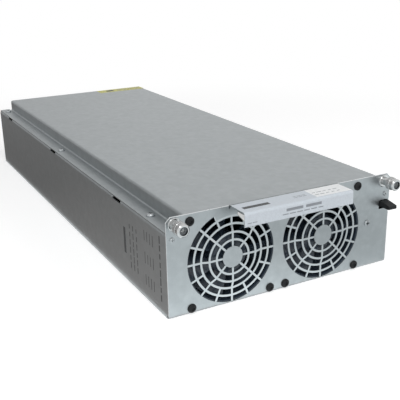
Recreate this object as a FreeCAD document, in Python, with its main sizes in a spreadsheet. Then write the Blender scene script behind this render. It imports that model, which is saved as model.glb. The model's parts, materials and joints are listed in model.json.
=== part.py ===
"""Rack power module: folded steel case, guarded fans, captive screws, release lever and electronics."""
import FreeCAD
import Part
import Sketcher
import math
import os
import re

# Driving dimensions in millimetres: name, value, meaning
SIZES = [
    ("case_width", 246, "outside width of the front panel"),
    ("case_length", 587, "front face to rear edge of the base"),
    ("case_height", 95, "underside to the top of the cover"),
    ("sheet", 1, "steel thickness"),
    ("bend", 2.5, "outside radius of the folds"),
    ("ledge_height", 81, "top of the low ledge along each side"),
    ("ledge_width", 16.5, "width of the ledge"),
    ("edge_inset", 0.6, "cover edge inside the side wall's outer face"),
    ("rear_recess", 6.5, "raised cover and rear panel stop short of the rear edge"),
    ("ear_chamfer", 4.3, "cut corner at the top of each ear"),
    ("flange", 13, "width of the hidden fixing flanges"),
    ("edge_round", 0.4, "round of the panel's sheared edges"),
    ("rivet_hole", 1.7, "radius of the holes for rivets and small screws"),
    ("fan_left", -58.9, "axis of the left fan across the panel"),
    ("fan_right", 40.8, "axis of the right fan across the panel"),
    ("fan_height", 46.7, "axis of both fans above the underside"),
    ("fan_size", 91.4, "side of the square fan frame"),
    ("fan_depth", 38, "depth of the fan frame"),
    ("fan_pitch", 82.5, "spacing of the fan's corner holes"),
    ("fan_bore", 43.6, "radius of the fan's duct"),
    ("fan_hole", 2.2, "radius of the fan's corner holes"),
    ("fan_corner", 4, "corner radius of the fan frame"),
    ("duct_wall", 1.9, "thickness of the fan's duct"),
    ("strut_width", 4, "width of the struts that hold the motor"),
    ("bearing_radius", 4, "outside radius of the bearing tube"),
    ("bearing_setback", 8, "bearing tube and motor seat from the frame's ends"),
    ("stack_length", 10, "length of the motor's pole stack"),
    ("stack_front", 11, "pole stack behind the frame's front face"),
    ("pole_gap", 3, "gap between two poles"),
    ("fan_rim", 4.5, "thickness of the fan frame's end flanges"),
    ("rotor_hub", 19, "radius of the rotor's hub"),
    ("rotor_setback", 2.5, "rotor face behind the frame's front face"),
    ("rotor_depth", 24, "depth of the rotor's hub"),
    ("rotor_tip", 42.7, "radius of the blade tips"),
    ("cup_wall", 2, "thickness of the rotor's hub cup"),
    ("blade_count", 7, "blades of each rotor"),
    ("shaft_radius", 1.5, "radius of the rotor shaft"),
    ("running_gap", 0.05, "radial clearance of a shaft in its bearing"),
    ("guard_hub", 10.2, "radius of the guard's plain middle"),
    ("guard_web", 16.5, "mean radius of the guard's first ring"),
    ("web_pitch", 7.3, "radial spacing of the guard's rings"),
    ("web_width", 2, "width of a guard ring"),
    ("spoke_width", 1.9, "width of a guard spoke"),
    ("guard_radius", 44.6, "radius of the guard's outer edge"),
    ("dish_depth", 2, "the guard's middle stands forward of the panel"),
    ("handle_left", -60.4, "left end of the handle lip"),
    ("handle_right", 56.7, "right end of the handle lip"),
    ("handle_reach", 24, "handle lip forward of the panel"),
    ("handle_drop", 13, "height of the lip's front plate"),
    ("handle_notch", 1, "width of the fold relief at each end of the lip"),
    ("notch_depth", 3, "depth of the fold relief"),
    ("lip_bend", 1.3, "outside radius of the tight fold at the lip's root"),
    ("cheek_length", 10.5, "length of the lip's end gussets"),
    ("cheek_front", 5.9, "height of the end gussets at the lip's front plate"),
    ("cheek_rear", 3.3, "height of the end gussets at their rear"),
    ("screw_side", 114.8, "captive screw axis from the middle"),
    ("screw_height", 88, "captive screw axis above the underside"),
    ("screw_radius", 2.5, "radius of the captive screw's thread"),
    ("screw_end", 9.8, "screw tip behind the panel's front face"),
    ("knob_radius", 6.3, "radius of the thumb knob's knurled ring"),
    ("knob_face", 5.9, "radius of the knob's plain front"),
    ("knob_groove", 5.4, "radius of the groove between ring and front"),
    ("knob_step", 13.6, "rear edge of the knob's front, in front of the panel"),
    ("knob_gap", 0.8, "width of the groove"),
    ("knob_well", 3.9, "radius of the well in the knob's face"),
    ("well_depth", 1.2, "depth of the well"),
    ("flute_radius", 0.55, "radius of the knurl's flutes"),
    ("flute_count", 24, "flutes round the knob"),
    ("turned_edge", 0.5, "bevel of turned edges"),
    ("cross_width", 1.1, "width of a cross recess"),
    ("cross_depth", 1.8, "depth of a cross recess"),
    ("knob_front", 18, "knob face in front of the panel"),
    ("knob_back", 8.2, "knob rim in front of the panel"),
    ("knob_cavity", 4.7, "radius of the cavity in the knob"),
    ("knob_wall", 2, "thickness of the knob's end"),
    ("ferrule_radius", 4, "radius of the ferrule's sleeve"),
    ("ferrule_bore", 2.9, "radius of the ferrule's bore"),
    ("ferrule_length", 8, "ferrule in front of the panel"),
    ("ferrule_neck", 3.4, "radius of the ferrule in the panel"),
    ("ferrule_flange", 6.2, "radius of the ferrule's flange"),
    ("ferrule_foot", 1.3, "thickness of the ferrule's flange"),
    ("stop_rise", 0.6, "height of the stop ring behind the panel"),
    ("washer_inner", 2.9, "inside radius of the thrust washer"),
    ("washer_outer", 4.3, "outside radius of the thrust washer"),
    ("washer_thickness", 0.6, "thickness of the thrust washer"),
    ("spring_radius", 3.5, "mean radius of the captive screw's spring"),
    ("spring_wire", 0.7, "wire of the captive screw's spring"),
    ("rivet_side", 117.2, "panel rivet from the middle"),
    ("rivet_height", 74.4, "panel rivet above the underside"),
    ("rivet_head", 2.3, "radius of a panel rivet's head"),
    ("rivet_dome", 1, "height of a panel rivet's head"),
    ("rivet_shank", 1.6, "radius of a panel rivet"),
    ("mandrel", 0.9, "radius of the hollow in a panel rivet's head"),
    ("rivet_upset", 2.2, "panel rivet behind the two sheets"),
    ("push_head", 4.3, "radius of a fan rivet's head"),
    ("push_dome", 2.2, "height of a fan rivet's head"),
    ("push_shank", 2.1, "radius of a fan rivet"),
    ("cover_head", 4.2, "radius of a cover screw's head"),
    ("cover_dome", 2.3, "height of a cover screw's head"),
    ("cover_shank", 1.65, "radius of a cover screw"),
    ("cover_reach", 6, "length of a cover screw"),
    ("cover_hole", 2.1, "radius of the cover's screw holes"),
    ("small_head", 3.2, "radius of a small screw's head"),
    ("small_dome", 1.4, "height of a small screw's head"),
    ("small_shank", 1.5, "radius of a small screw"),
    ("small_reach", 7, "length of a small screw"),
    ("tab_bottom", 69.7, "bottom of the side wall's front tab"),
    ("slot_left", 110.4, "lever slot, left edge"),
    ("slot_right", 121.2, "lever slot, right edge"),
    ("slot_bottom", 59, "lever slot, bottom edge"),
    ("slot_top", 68.2, "lever slot, top edge"),
    ("lever_width", 9.4, "width of the lever's tab"),
    ("lever_reach", 14.1, "lever tab in front of the panel"),
    ("lever_shoulder", 4, "level part of the lever's top in front of the panel"),
    ("lever_top", 67.7, "top of the lever in its slot"),
    ("lever_under", 61.9, "underside of the lever in its slot"),
    ("tip_top", 65.4, "top of the lever's tip"),
    ("lever_hub", 4, "radius of the lever's hub"),
    ("flag_end", 32, "end of the lever's sensor flag behind the panel"),
    ("flag_top", 65.2, "top of the sensor flag"),
    ("flag_width", 1.5, "thickness of the sensor flag"),
    ("flag_height", 3, "height of the sensor flag"),
    ("coil_depth", 18.5, "lever spring behind the panel"),
    ("coil_radius", 2.1, "mean radius of the lever spring"),
    ("coil_wire", 0.6, "wire of the lever spring"),
    ("pivot_depth", 12, "lever pivot behind the panel's front face"),
    ("pivot_height", 64, "lever pivot above the underside"),
    ("pin_radius", 1.5, "radius of the lever pin"),
    ("bracket_left", 90, "left edge of the lever bracket"),
    ("bracket_bottom", 42, "bottom of the lever bracket"),
    ("bracket_rear", 36, "rear web of the lever bracket behind the panel"),
    ("ear_top", 69, "top of the bracket's ears"),
    ("shelf_front", 14, "front edge of the sensor's shelf behind the panel"),
    ("shelf_width", 10, "width of the sensor's shelf"),
    ("shelf_height", 77, "top of the sensor's shelf"),
    ("sensor_depth", 26, "front of the sensor behind the panel"),
    ("sensor_length", 8, "length and width of the sensor"),
    ("sensor_height", 9.6, "height of the sensor"),
    ("sensor_slot", 3.2, "width of the sensor's slot"),
    ("sensor_reach", 6.5, "depth of the sensor's slot"),
    ("bracket_screw_x", 96.4, "bracket screw across the panel"),
    ("bracket_screw_z", 47.1, "bracket screw above the underside"),
    ("ledge_screw", 115.2, "cover screw from the middle"),
    ("ledge_screw_front", -245.5, "first cover screw along the case"),
    ("ledge_screw_step", 259.5, "spacing of the cover screws"),
    ("wall_slot_length", 19.5, "slot below the ledge"),
    ("wall_slot_height", 2.6, "slot below the ledge"),
    ("wall_slot_front", -182, "middle of the first slot along the case"),
    ("wall_slot_step", 207, "spacing of the slots"),
    ("board_lift", 8, "height of the board stand-offs"),
    ("board_thickness", 1.6, "thickness of the circuit boards"),
    ("board_width", 200, "width of the main board"),
    ("board_front", -234, "front edge of the main board"),
    ("board_length", 470, "length of the main board"),
    ("board_inset", 6, "board screws from the board's edges"),
    ("film_margin", 5, "insulating sheet past the board's edges"),
    ("film_thickness", 0.4, "thickness of the insulating sheet"),
    ("post_radius", 3, "radius of a stand-off"),
    ("post_bore", 1.5, "radius of a stand-off's bore"),
    ("board_screw_head", 2.8, "radius of a board screw's head"),
    ("board_screw_reach", 6, "length of a board screw"),
    ("control_side", 40, "control board from the middle"),
    ("control_front", 60, "front edge of the control board"),
    ("control_length", 130, "length of the control board"),
    ("control_height", 62, "height of the control board"),
    ("sink_length", 190, "length of a heat sink"),
    ("sink_height", 56, "height of a heat sink"),
    ("sink_side", 66, "mounting face of a heat sink from the middle"),
    ("sink_front", -200, "front end of the heat sinks"),
    ("fin_length", 24, "length of a fin"),
    ("fin_pitch", 9, "spacing of the fins"),
    ("fin_count", 6, "fins of a heat sink"),
    ("fin_thickness", 1.6, "thickness of a fin"),
    ("sink_plate", 5, "thickness of a heat sink's plate"),
    ("package_depth", 4.6, "thickness of a power transistor"),
    ("package_width", 15.6, "width of a power transistor"),
    ("package_height", 20.6, "height of a power transistor"),
    ("package_pitch", 30, "spacing of the power transistors"),
    ("package_lift", 18, "power transistors above the board"),
    ("can_radius", 17.5, "radius of a capacitor"),
    ("can_height", 50, "height of a capacitor"),
    ("can_pitch", 40, "spacing of the capacitors"),
    ("can_side", 21, "capacitor row from the middle"),
    ("can_bead", 5.4, "rolled bead above a capacitor's foot"),
    ("can_edge", 0.8, "depth of the bead and of the rim"),
    ("ring_radius", 17, "mean radius of an inductor"),
    ("ring_section", 8, "section radius of an inductor"),
    ("ring_row", 40, "inductors along the case"),
    ("ring_pitch", 60, "spacing of the inductors"),
    ("core_x", -50, "transformer from the middle"),
    ("core_y", 110, "front of the transformer's core"),
    ("core_width", 68, "width of the transformer's core"),
    ("core_height", 56, "height of the transformer's core"),
    ("core_depth", 26, "depth of the transformer's core"),
    ("core_limb", 10, "outer limbs and yokes of the core"),
    ("core_centre", 18, "middle limb of the core"),
    ("coil_gap", 0.3, "clearance of the winding in the core"),
    ("coil_overhang", 13.7, "winding in front of and behind the core"),
    ("coil_corner", 8, "corner radius of the winding"),
    ("connector_left", 14, "rear connector cut-out, left edge"),
    ("connector_width", 84, "rear connector cut-out"),
    ("connector_bottom", 14, "rear connector cut-out, bottom edge"),
    ("connector_height", 24, "rear connector cut-out"),
    ("connector_depth", 34, "length of the connector housing"),
    ("connector_nose", 5, "connector housing behind the rear panel's face"),
    ("connector_ear", 5, "connector screws from the cut-out"),
    ("connector_flange", 10, "connector flange past the housing"),
    ("connector_gap", 0.4, "clearance of the connector in its cut-out"),
    ("flange_depth", 4, "thickness of the connector flange"),
    ("socket_width", 7, "width of a connector socket"),
    ("socket_height", 14, "height of a connector socket"),
    ("socket_depth", 20, "depth of a connector socket"),
    ("socket_pitch", 8.5, "spacing of the connector sockets"),
    ("socket_count", 9, "sockets of the rear connector"),
    ("blade_width", 1.2, "thickness of a contact blade"),
    ("blade_length", 15, "length of a contact blade"),
    ("blade_height", 9, "height of a contact blade"),
    ("vent_left", -98, "left edge of the first rear vent"),
    ("vent_width", 4, "width of a rear vent"),
    ("vent_pitch", 6.85, "spacing of the rear vents"),
    ("vent_low", 10, "bottom of the lower row of vents"),
    ("vent_low_height", 32, "height of the lower row of vents"),
    ("vent_high", 48, "bottom of the upper row of vents"),
    ("vent_high_height", 38, "height of the upper row of vents"),
]

# Places written once, in the words of the sheet
FRONT = "(-case_length / 2)"
BEHIND_PANEL = "(-case_length / 2 + sheet)"
REAR = "(case_length / 2)"
SIDE = "(case_width / 2)"
WALL_TOP = "(ledge_height - sheet)"
STEP = "(case_width / 2 - ledge_width)"
REAR_FACE = "(case_length / 2 - rear_recess)"
LEVER_MIDDLE = "((slot_left + slot_right) / 2)"
BOARD_TOP = "(sheet + board_lift + board_thickness)"
FANS = (("left", "fan_left"), ("right", "fan_right"))
SIDES = (("left", "-1"), ("right", "1"))

doc = FreeCAD.newDocument("PowerModule")
sheet = doc.addObject("Spreadsheet::Sheet", "Sizes")
for row, (alias, number, meaning) in enumerate(SIZES, start=1):
    sheet.set(f"A{row}", meaning)
    sheet.set(f"B{row}", str(number))
    sheet.setAlias(f"B{row}", alias)
doc.recompute()

ALIASES = {alias for alias, number, meaning in SIZES}
nodes = []


def bound(text):
    """The expression with each dimension written as a cell of the sheet."""
    return re.sub(r"[a-z_]+", lambda word: "Sizes." + word[0] if word[0] in ALIASES else word[0], str(text))


def value(text):
    """The number that an expression gives at the present sizes."""
    return float(sheet.evalExpression(bound(text)))


def bind(item, name, text):
    """Ties one property of an object to the sheet."""
    item.setExpression(name, bound(text))


def place(item, x=0, y=0, z=0):
    """Ties an object's position to the sheet."""
    for axis, text in zip("xyz", (x, y, z)):
        bind(item, f"Placement.Base.{axis}", text)
    return item


def node(item):
    """Adds a finished piece to the set that is written out."""
    nodes.append(item)
    return item


def new_body(label):
    """An empty body with its own label."""
    body = doc.addObject("PartDesign::Body", label)
    body.Label = label
    return body


def plane(body, role):
    """One of the body's own origin planes or axes."""
    return next(item for item in body.Origin.OriginFeatures if item.Role == role)


def new_sketch(body, role, x=0, y=0, z=0):
    """An empty sketch on an origin plane, moved within that plane by x and y and off it by z."""
    drawing = body.newObject("Sketcher::SketchObject", body.Label + "_sketch")
    drawing.AttachmentSupport = [(plane(body, role), "")]
    drawing.MapMode = "FlatFace"
    for axis, text in zip("xyz", (x, y, z)):
        bind(drawing, f"AttachmentOffset.Base.{axis}", text)
    return drawing


def dimension(drawing, kind, geometry, text):
    """A driving dimension of a sketch, tied to the sheet."""
    number = drawing.addConstraint(Sketcher.Constraint(kind, *geometry, value(text)))
    drawing.setExpression(f"Constraints[{number}]", bound(text))


def pin_point(drawing, geometry, end, point):
    """Dimensions a point of the sketch from the sketch's origin."""
    dimension(drawing, "DistanceX", (-1, 1, geometry, end), point[0])
    dimension(drawing, "DistanceY", (-1, 1, geometry, end), point[1])


def polygon(drawing, corners):
    """A closed outline of straight edges; each corner is a pair of expressions."""
    points = [FreeCAD.Vector(value(across), value(up), 0) for across, up in corners]
    count = len(points)
    first = drawing.GeometryCount
    for step in range(count):
        drawing.addGeometry(Part.LineSegment(points[step], points[(step + 1) % count]))
    for step in range(count):
        joined = (first + step, 2, first + (step + 1) % count, 1)
        drawing.addConstraint(Sketcher.Constraint("Coincident", *joined))
        pin_point(drawing, first + step, 1, corners[step])
    return drawing


def rectangle(drawing, left, bottom, right, top):
    """A rectangle from expressions for its four sides."""
    return polygon(drawing, [(left, bottom), (right, bottom), (right, top), (left, top)])


def circle(drawing, across, up, radius):
    """A circle from expressions for its centre and radius."""
    middle = FreeCAD.Vector(value(across), value(up), 0)
    ring = drawing.addGeometry(Part.Circle(middle, FreeCAD.Vector(0, 0, 1), value(radius)))
    pin_point(drawing, ring, 3, (across, up))
    dimension(drawing, "Radius", (ring,), radius)
    return drawing


def folded_outline(drawing, corners, radii):
    """A closed outline of level and upright edges, rounded at the numbered corners as a folded sheet is."""
    points = [FreeCAD.Vector(value(across), value(up), 0) for across, up in corners]
    count = len(points)
    trims = [value(radii.get(step, 0)) for step in range(count)]
    lines = []
    for step in range(count):
        start, end = points[step], points[(step + 1) % count]
        along = (end - start).normalize()
        edge = Part.LineSegment(start + along * trims[step], end - along * trims[(step + 1) % count])
        lines.append(drawing.addGeometry(edge))
        level = abs(along.y) < 0.5
        drawing.addConstraint(Sketcher.Constraint("Horizontal" if level else "Vertical", lines[-1]))
        kind, text = ("DistanceY", corners[step][1]) if level else ("DistanceX", corners[step][0])
        dimension(drawing, kind, (-1, 1, lines[-1], 1), text)
    for step in range(count):
        before, after = lines[step - 1], lines[step]
        if step not in radii:
            drawing.addConstraint(Sketcher.Constraint("Coincident", before, 2, after, 1))
            continue
        arriving = (points[step] - points[step - 1]).normalize()
        leaving = (points[(step + 1) % count] - points[step]).normalize()
        middle = points[step] + (leaving - arriving) * trims[step]
        left_turn = arriving.cross(leaving).z > 0
        trim = leaving if not left_turn else -arriving
        starts_at = points[step] + trim * trims[step]
        begin = math.atan2(starts_at.y - middle.y, starts_at.x - middle.x)
        full = Part.Circle(middle, FreeCAD.Vector(0, 0, 1), trims[step])
        arc = drawing.addGeometry(Part.ArcOfCircle(full, begin, begin + math.pi / 2))
        at_before, at_after = (1, 2) if left_turn else (2, 1)
        drawing.addConstraint(Sketcher.Constraint("Tangent", before, 2, arc, at_before))
        drawing.addConstraint(Sketcher.Constraint("Tangent", arc, at_after, after, 1))
        dimension(drawing, "Radius", (arc,), radii[step])
    return drawing


def feature(body, kind, drawing, length, sides="One side", backwards=False):
    """A pad or pocket of a sketch."""
    solid = body.newObject("PartDesign::" + kind, body.Label + "_" + kind.lower())
    solid.Profile = drawing
    solid.SideType = sides
    solid.Reversed = backwards
    bind(solid, "Length", length)
    drawing.Visibility = False
    return solid


def turn(body, drawing, kind="Revolution"):
    """A full turn of a sketch about its own upright axis."""
    solid = body.newObject("PartDesign::" + kind, body.Label + "_turned")
    solid.Profile = drawing
    solid.ReferenceAxis = (drawing, ["V_Axis"])
    solid.Angle = 360
    return solid


def around(body, original, axis, count, angle=360):
    """Repeats a feature about an axis."""
    doc.recompute()
    pattern = body.newObject("PartDesign::PolarPattern", body.Label + "_around")
    pattern.Originals = [original]
    pattern.Axis = axis
    bind(pattern, "Angle", angle)
    bind(pattern, "Occurrences", count)
    body.Tip = pattern
    return pattern


def along(body, original, axis, length, count):
    """Repeats a feature along an axis; length is the distance from the first to the last."""
    doc.recompute()
    pattern = body.newObject("PartDesign::LinearPattern", body.Label + "_along")
    pattern.Originals = [original]
    pattern.Direction = axis
    bind(pattern, "Length", length)
    bind(pattern, "Occurrences", count)
    body.Tip = pattern
    return pattern


def turned(label, role, section):
    """A turned piece; its half section runs from the axis outwards, as (radius, distance along the axis)."""
    body = new_body(label)
    turn(body, polygon(new_sketch(body, role), section))
    return body


def box(label, lengths, corner):
    """A plain block from expressions for its three lengths and its lowest corner."""
    block = doc.addObject("Part::Box", label)
    block.Label = label
    for name, text in zip(("Length", "Width", "Height"), lengths):
        bind(block, name, text)
    return place(block, *corner)


def joined(label, pieces):
    """One solid made of several that meet."""
    whole = doc.addObject("Part::MultiFuse", label)
    whole.Label = label
    whole.Shapes = pieces
    whole.Refine = True
    return whole


def group(label, pattern, places):
    """Copies of one piece as a set of separate solids; places are triples of expressions."""
    doc.recompute()
    spots = [FreeCAD.Vector(*(value(text) for text in spot)) for spot in places]
    copies = doc.addObject("Part::Feature", label)
    copies.Label = label
    copies.Shape = Part.Compound([pattern.Shape.translated(spot) for spot in spots])
    return node(copies)


def cross_recess(body, role, face, reach, backwards=False):
    """A cross-shaped drive recess in a screw's face."""
    half = "cross_width / 2"
    drawing = polygon(new_sketch(body, role, 0, 0, face), [
        (f"-{half}", f"-({reach})"), (half, f"-({reach})"), (half, f"-{half}"),
        (reach, f"-{half}"), (reach, half), (half, half),
        (half, reach), (f"-{half}", reach), (f"-{half}", half),
        (f"-({reach})", half), (f"-({reach})", f"-{half}"), (f"-{half}", f"-{half}"),
    ])
    feature(body, "Pocket", drawing, "cross_depth", backwards=backwards)


def edges_where(shape, test):
    """Names of the edges whose middle point passes a test."""
    names = []
    for number, edge in enumerate(shape.Edges, start=1):
        if test(edge.CenterOfMass, edge):
            names.append(f"Edge{number}")
    return names


def guard_opening(body, fan, inner, outer, spokes, start):
    """One opening of a fan guard, between two rings and two parallel-sided spokes."""
    drawing = new_sketch(body, "XZ_Plane", fan, "fan_height", "case_length / 2")
    low, high, half = value(inner), value(outer), value("spoke_width / 2")
    first, second = math.radians(start), math.radians(start + 360 / spokes)

    def on_spoke(radius, angle, side):
        reach = math.sqrt(radius ** 2 - half ** 2)
        turned_x = reach * math.cos(angle) - side * half * math.sin(angle)
        turned_y = reach * math.sin(angle) + side * half * math.cos(angle)
        return FreeCAD.Vector(turned_x, turned_y, 0)

    low_first, high_first = on_spoke(low, first, 1), on_spoke(high, first, 1)
    low_second, high_second = on_spoke(low, second, -1), on_spoke(high, second, -1)
    axis = FreeCAD.Vector(0, 0, 1)
    edge_first = drawing.addGeometry(Part.LineSegment(low_first, high_first))
    edge_second = drawing.addGeometry(Part.LineSegment(low_second, high_second))
    arcs = []
    for radius, begin, end in ((low, low_first, low_second), (high, high_first, high_second)):
        begins = math.atan2(begin.y, begin.x)
        sweep = (math.atan2(end.y, end.x) - begins) % (2 * math.pi)
        ring = Part.Circle(FreeCAD.Vector(0, 0, 0), axis, radius)
        arcs.append(drawing.addGeometry(Part.ArcOfCircle(ring, begins, begins + sweep)))
    for arc, end, text in ((arcs[0], 1, inner), (arcs[1], 2, outer)):
        drawing.addConstraint(Sketcher.Constraint("Coincident", arc, 3, -1, 1))
        drawing.addConstraint(Sketcher.Constraint("Coincident", arc, 1, edge_first, end))
        drawing.addConstraint(Sketcher.Constraint("Coincident", arc, 2, edge_second, end))
        dimension(drawing, "Radius", (arc,), text)
    for edge, angle in ((edge_first, start), (edge_second, start + 360 / spokes)):
        dimension(drawing, "Distance", (-1, 1, edge), "spoke_width / 2")
        drawing.addConstraint(Sketcher.Constraint("Angle", edge, math.radians(angle)))
    return feature(body, "Pocket", drawing, "4 * dish_depth", "Symmetric")


def fan_guard(body, fan):
    """A guard punched in the panel: five rows of openings, the middle ones in a dish that stands forward."""
    dish_edge = "guard_web + web_pitch + web_width / 2"
    dish_root = "guard_web + 2 * web_pitch - web_width / 2"
    hole = circle(new_sketch(body, "XZ_Plane", fan, "fan_height", "case_length / 2"), 0, 0, dish_root)
    feature(body, "Pocket", hole, "4 * sheet", "Symmetric")
    section = new_sketch(body, "XY_Plane", fan, FRONT, "fan_height")
    polygon(section, [
        (0, "-dish_depth"), (dish_edge, "-dish_depth"), (dish_root, 0),
        (dish_root, "sheet"), (dish_edge, "sheet - dish_depth"), (0, "sheet - dish_depth"),
    ])
    turn(body, section)
    half_web = "web_width / 2"
    rows = [("guard_hub", f"guard_web - {half_web}", 8, 8, 0)]
    for ring, spokes in ((0, 8), (1, 8), (2, 16)):
        inner = f"guard_web + {ring} * web_pitch + {half_web}"
        rows.append((inner, f"guard_web + {ring + 1} * web_pitch - {half_web}", spokes, spokes, 0))
    # The outer row leaves out the two openings under the handle's fold
    rows.append((f"guard_web + 3 * web_pitch + {half_web}", "guard_radius", 16, 14, 112.5))
    for inner, outer, spokes, count, start in rows:
        opening = guard_opening(body, fan, inner, outer, spokes, start)
        sweep = 360 if count == spokes else (count - 1) * 360 / spokes
        around(body, opening, (opening.Profile[0], ["N_Axis"]), count, sweep)


def base_pan():
    """Base, front panel, side flanges and handle lip, folded from one sheet."""
    body = new_body("base_pan")
    fold = folded_outline(new_sketch(body, "YZ_Plane"), [
        (REAR, 0), (FRONT, 0), (FRONT, "case_height"),
        (BEHIND_PANEL, "case_height"), (BEHIND_PANEL, "sheet"), (REAR, "sheet"),
    ], {1: "bend", 4: "bend - sheet"})
    feature(body, "Pad", fold, "case_width", "Symmetric")
    for side, sign in SIDES:
        side_flange(body, sign)
    handle_lip(body)
    for side, fan in FANS:
        fan_guard(body, fan)
    panel_holes(body)
    round_panel_edges(body)
    return node(body)


def side_flange(body, sign):
    """The base's edge, turned up against the inside of a side wall."""
    outside, wall = f"{sign} * ({SIDE} + sheet)", f"{sign} * ({SIDE} - sheet)"
    inside = f"{sign} * ({SIDE} - 2 * sheet)"
    cut, start = f"{sign} * ({SIDE} - flange / 2)", f"{sign} * ({SIDE} - flange)"
    front, rear = f"({FRONT} + 2 * bend)", f"({REAR_FACE} - 2 * sheet)"
    edge = polygon(new_sketch(body, "XY_Plane"), [
        (outside, f"{FRONT} + bend"), (outside, f"{REAR} + sheet"), (wall, f"{REAR} + sheet"), (wall, rear),
        (cut, rear), (cut, front), (wall, front), (wall, f"{FRONT} + bend"),
    ])
    feature(body, "Pocket", edge, "4 * sheet", "Symmetric")
    section = folded_outline(new_sketch(body, "XZ_Plane", 0, 0, f"-{front}"), [
        (start, 0), (wall, 0), (wall, "flange"), (inside, "flange"), (inside, "sheet"), (start, "sheet"),
    ], {1: "bend", 4: "bend - sheet"})
    feature(body, "Pad", section, f"{rear} - {front}", backwards=True)


def handle_lip(body):
    """The lip folded forward and down from the panel's top edge, with relief notches and end gussets."""
    root = "case_height - notch_depth"
    notch = new_sketch(body, "XZ_Plane", 0, 0, "case_length / 2")
    rectangle(notch, "handle_left - handle_notch", root,
              "handle_right + handle_notch", "case_height + sheet")
    feature(body, "Pocket", notch, "4 * sheet", "Symmetric")
    lip_front = "(-case_length / 2 - handle_reach)"
    lip_inside = "(-case_length / 2 - handle_reach + sheet)"
    under = "case_height - sheet"
    lip_bottom = "case_height - handle_drop"
    lip = folded_outline(new_sketch(body, "YZ_Plane", 0, 0, "handle_left"), [
        (BEHIND_PANEL, root), (BEHIND_PANEL, "case_height"), (lip_front, "case_height"),
        (lip_front, lip_bottom), (lip_inside, lip_bottom), (lip_inside, under),
        (FRONT, under), (FRONT, root),
    ], {1: "lip_bend", 2: "bend", 5: "bend - sheet", 6: "lip_bend - sheet"})
    feature(body, "Pad", lip, "handle_right - handle_left")
    cheek_top = "case_height - 1.4 * sheet"
    plate, rear = f"{lip_inside} - sheet / 2", f"{lip_inside} + cheek_length"
    for edge in ("handle_left", "handle_right - sheet"):
        cheek = new_sketch(body, "YZ_Plane", 0, 0, edge)
        polygon(cheek, [
            (plate, f"{cheek_top} - cheek_front"), (plate, cheek_top),
            (rear, cheek_top), (rear, f"{cheek_top} - cheek_rear"),
        ])
        feature(body, "Pad", cheek, "sheet")


def panel_holes(body):
    """Holes for rivets, screws and ferrules, the lever's slot and the cut corners of the ears."""
    holes = new_sketch(body, "XZ_Plane", 0, 0, "case_length / 2")
    for side, fan in FANS:
        for across in ("-", "+"):
            for up in ("-", "+"):
                circle(holes, f"{fan} {across} fan_pitch / 2", f"fan_height {up} fan_pitch / 2", "fan_hole")
    for side, sign in SIDES:
        circle(holes, f"{sign} * rivet_side", "rivet_height", "rivet_hole")
        circle(holes, f"{sign} * screw_side", "screw_height", "ferrule_neck + running_gap")
        corner = f"{sign} * {SIDE}"
        polygon(holes, [
            (f"{corner} + {sign} * sheet", "case_height + sheet"),
            (f"{corner} - {sign} * (ear_chamfer + sheet)", "case_height + sheet"),
            (f"{corner} + {sign} * sheet", "case_height - ear_chamfer - sheet"),
        ])
    circle(holes, "bracket_screw_x", "bracket_screw_z", "rivet_hole")
    rectangle(holes, "slot_left", "slot_bottom", "slot_right", "slot_top")
    feature(body, "Pocket", holes, "4 * sheet", "Symmetric")


def round_panel_edges(body):
    """The slight round that shearing leaves on the front face's top edges, cut corners and sides."""
    doc.recompute()
    face, top, side = value(FRONT), value("case_height"), value(SIDE)
    corner = side + top - value("ear_chamfer")

    def on_rim(middle, edge):
        on_edge = abs(middle.z - top) < 0.01 or abs(abs(middle.x) - side) < 0.01
        on_cut = abs(abs(middle.x) + middle.z - corner) < 0.01
        return abs(middle.y - face) < 0.01 and (on_edge or on_cut)

    base = body.Tip
    names = edges_where(body.Shape, on_rim)
    rounded = body.newObject("PartDesign::Fillet", "panel_edge_round")
    rounded.Base = (base, names)
    bind(rounded, "Radius", "edge_round")


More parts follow.
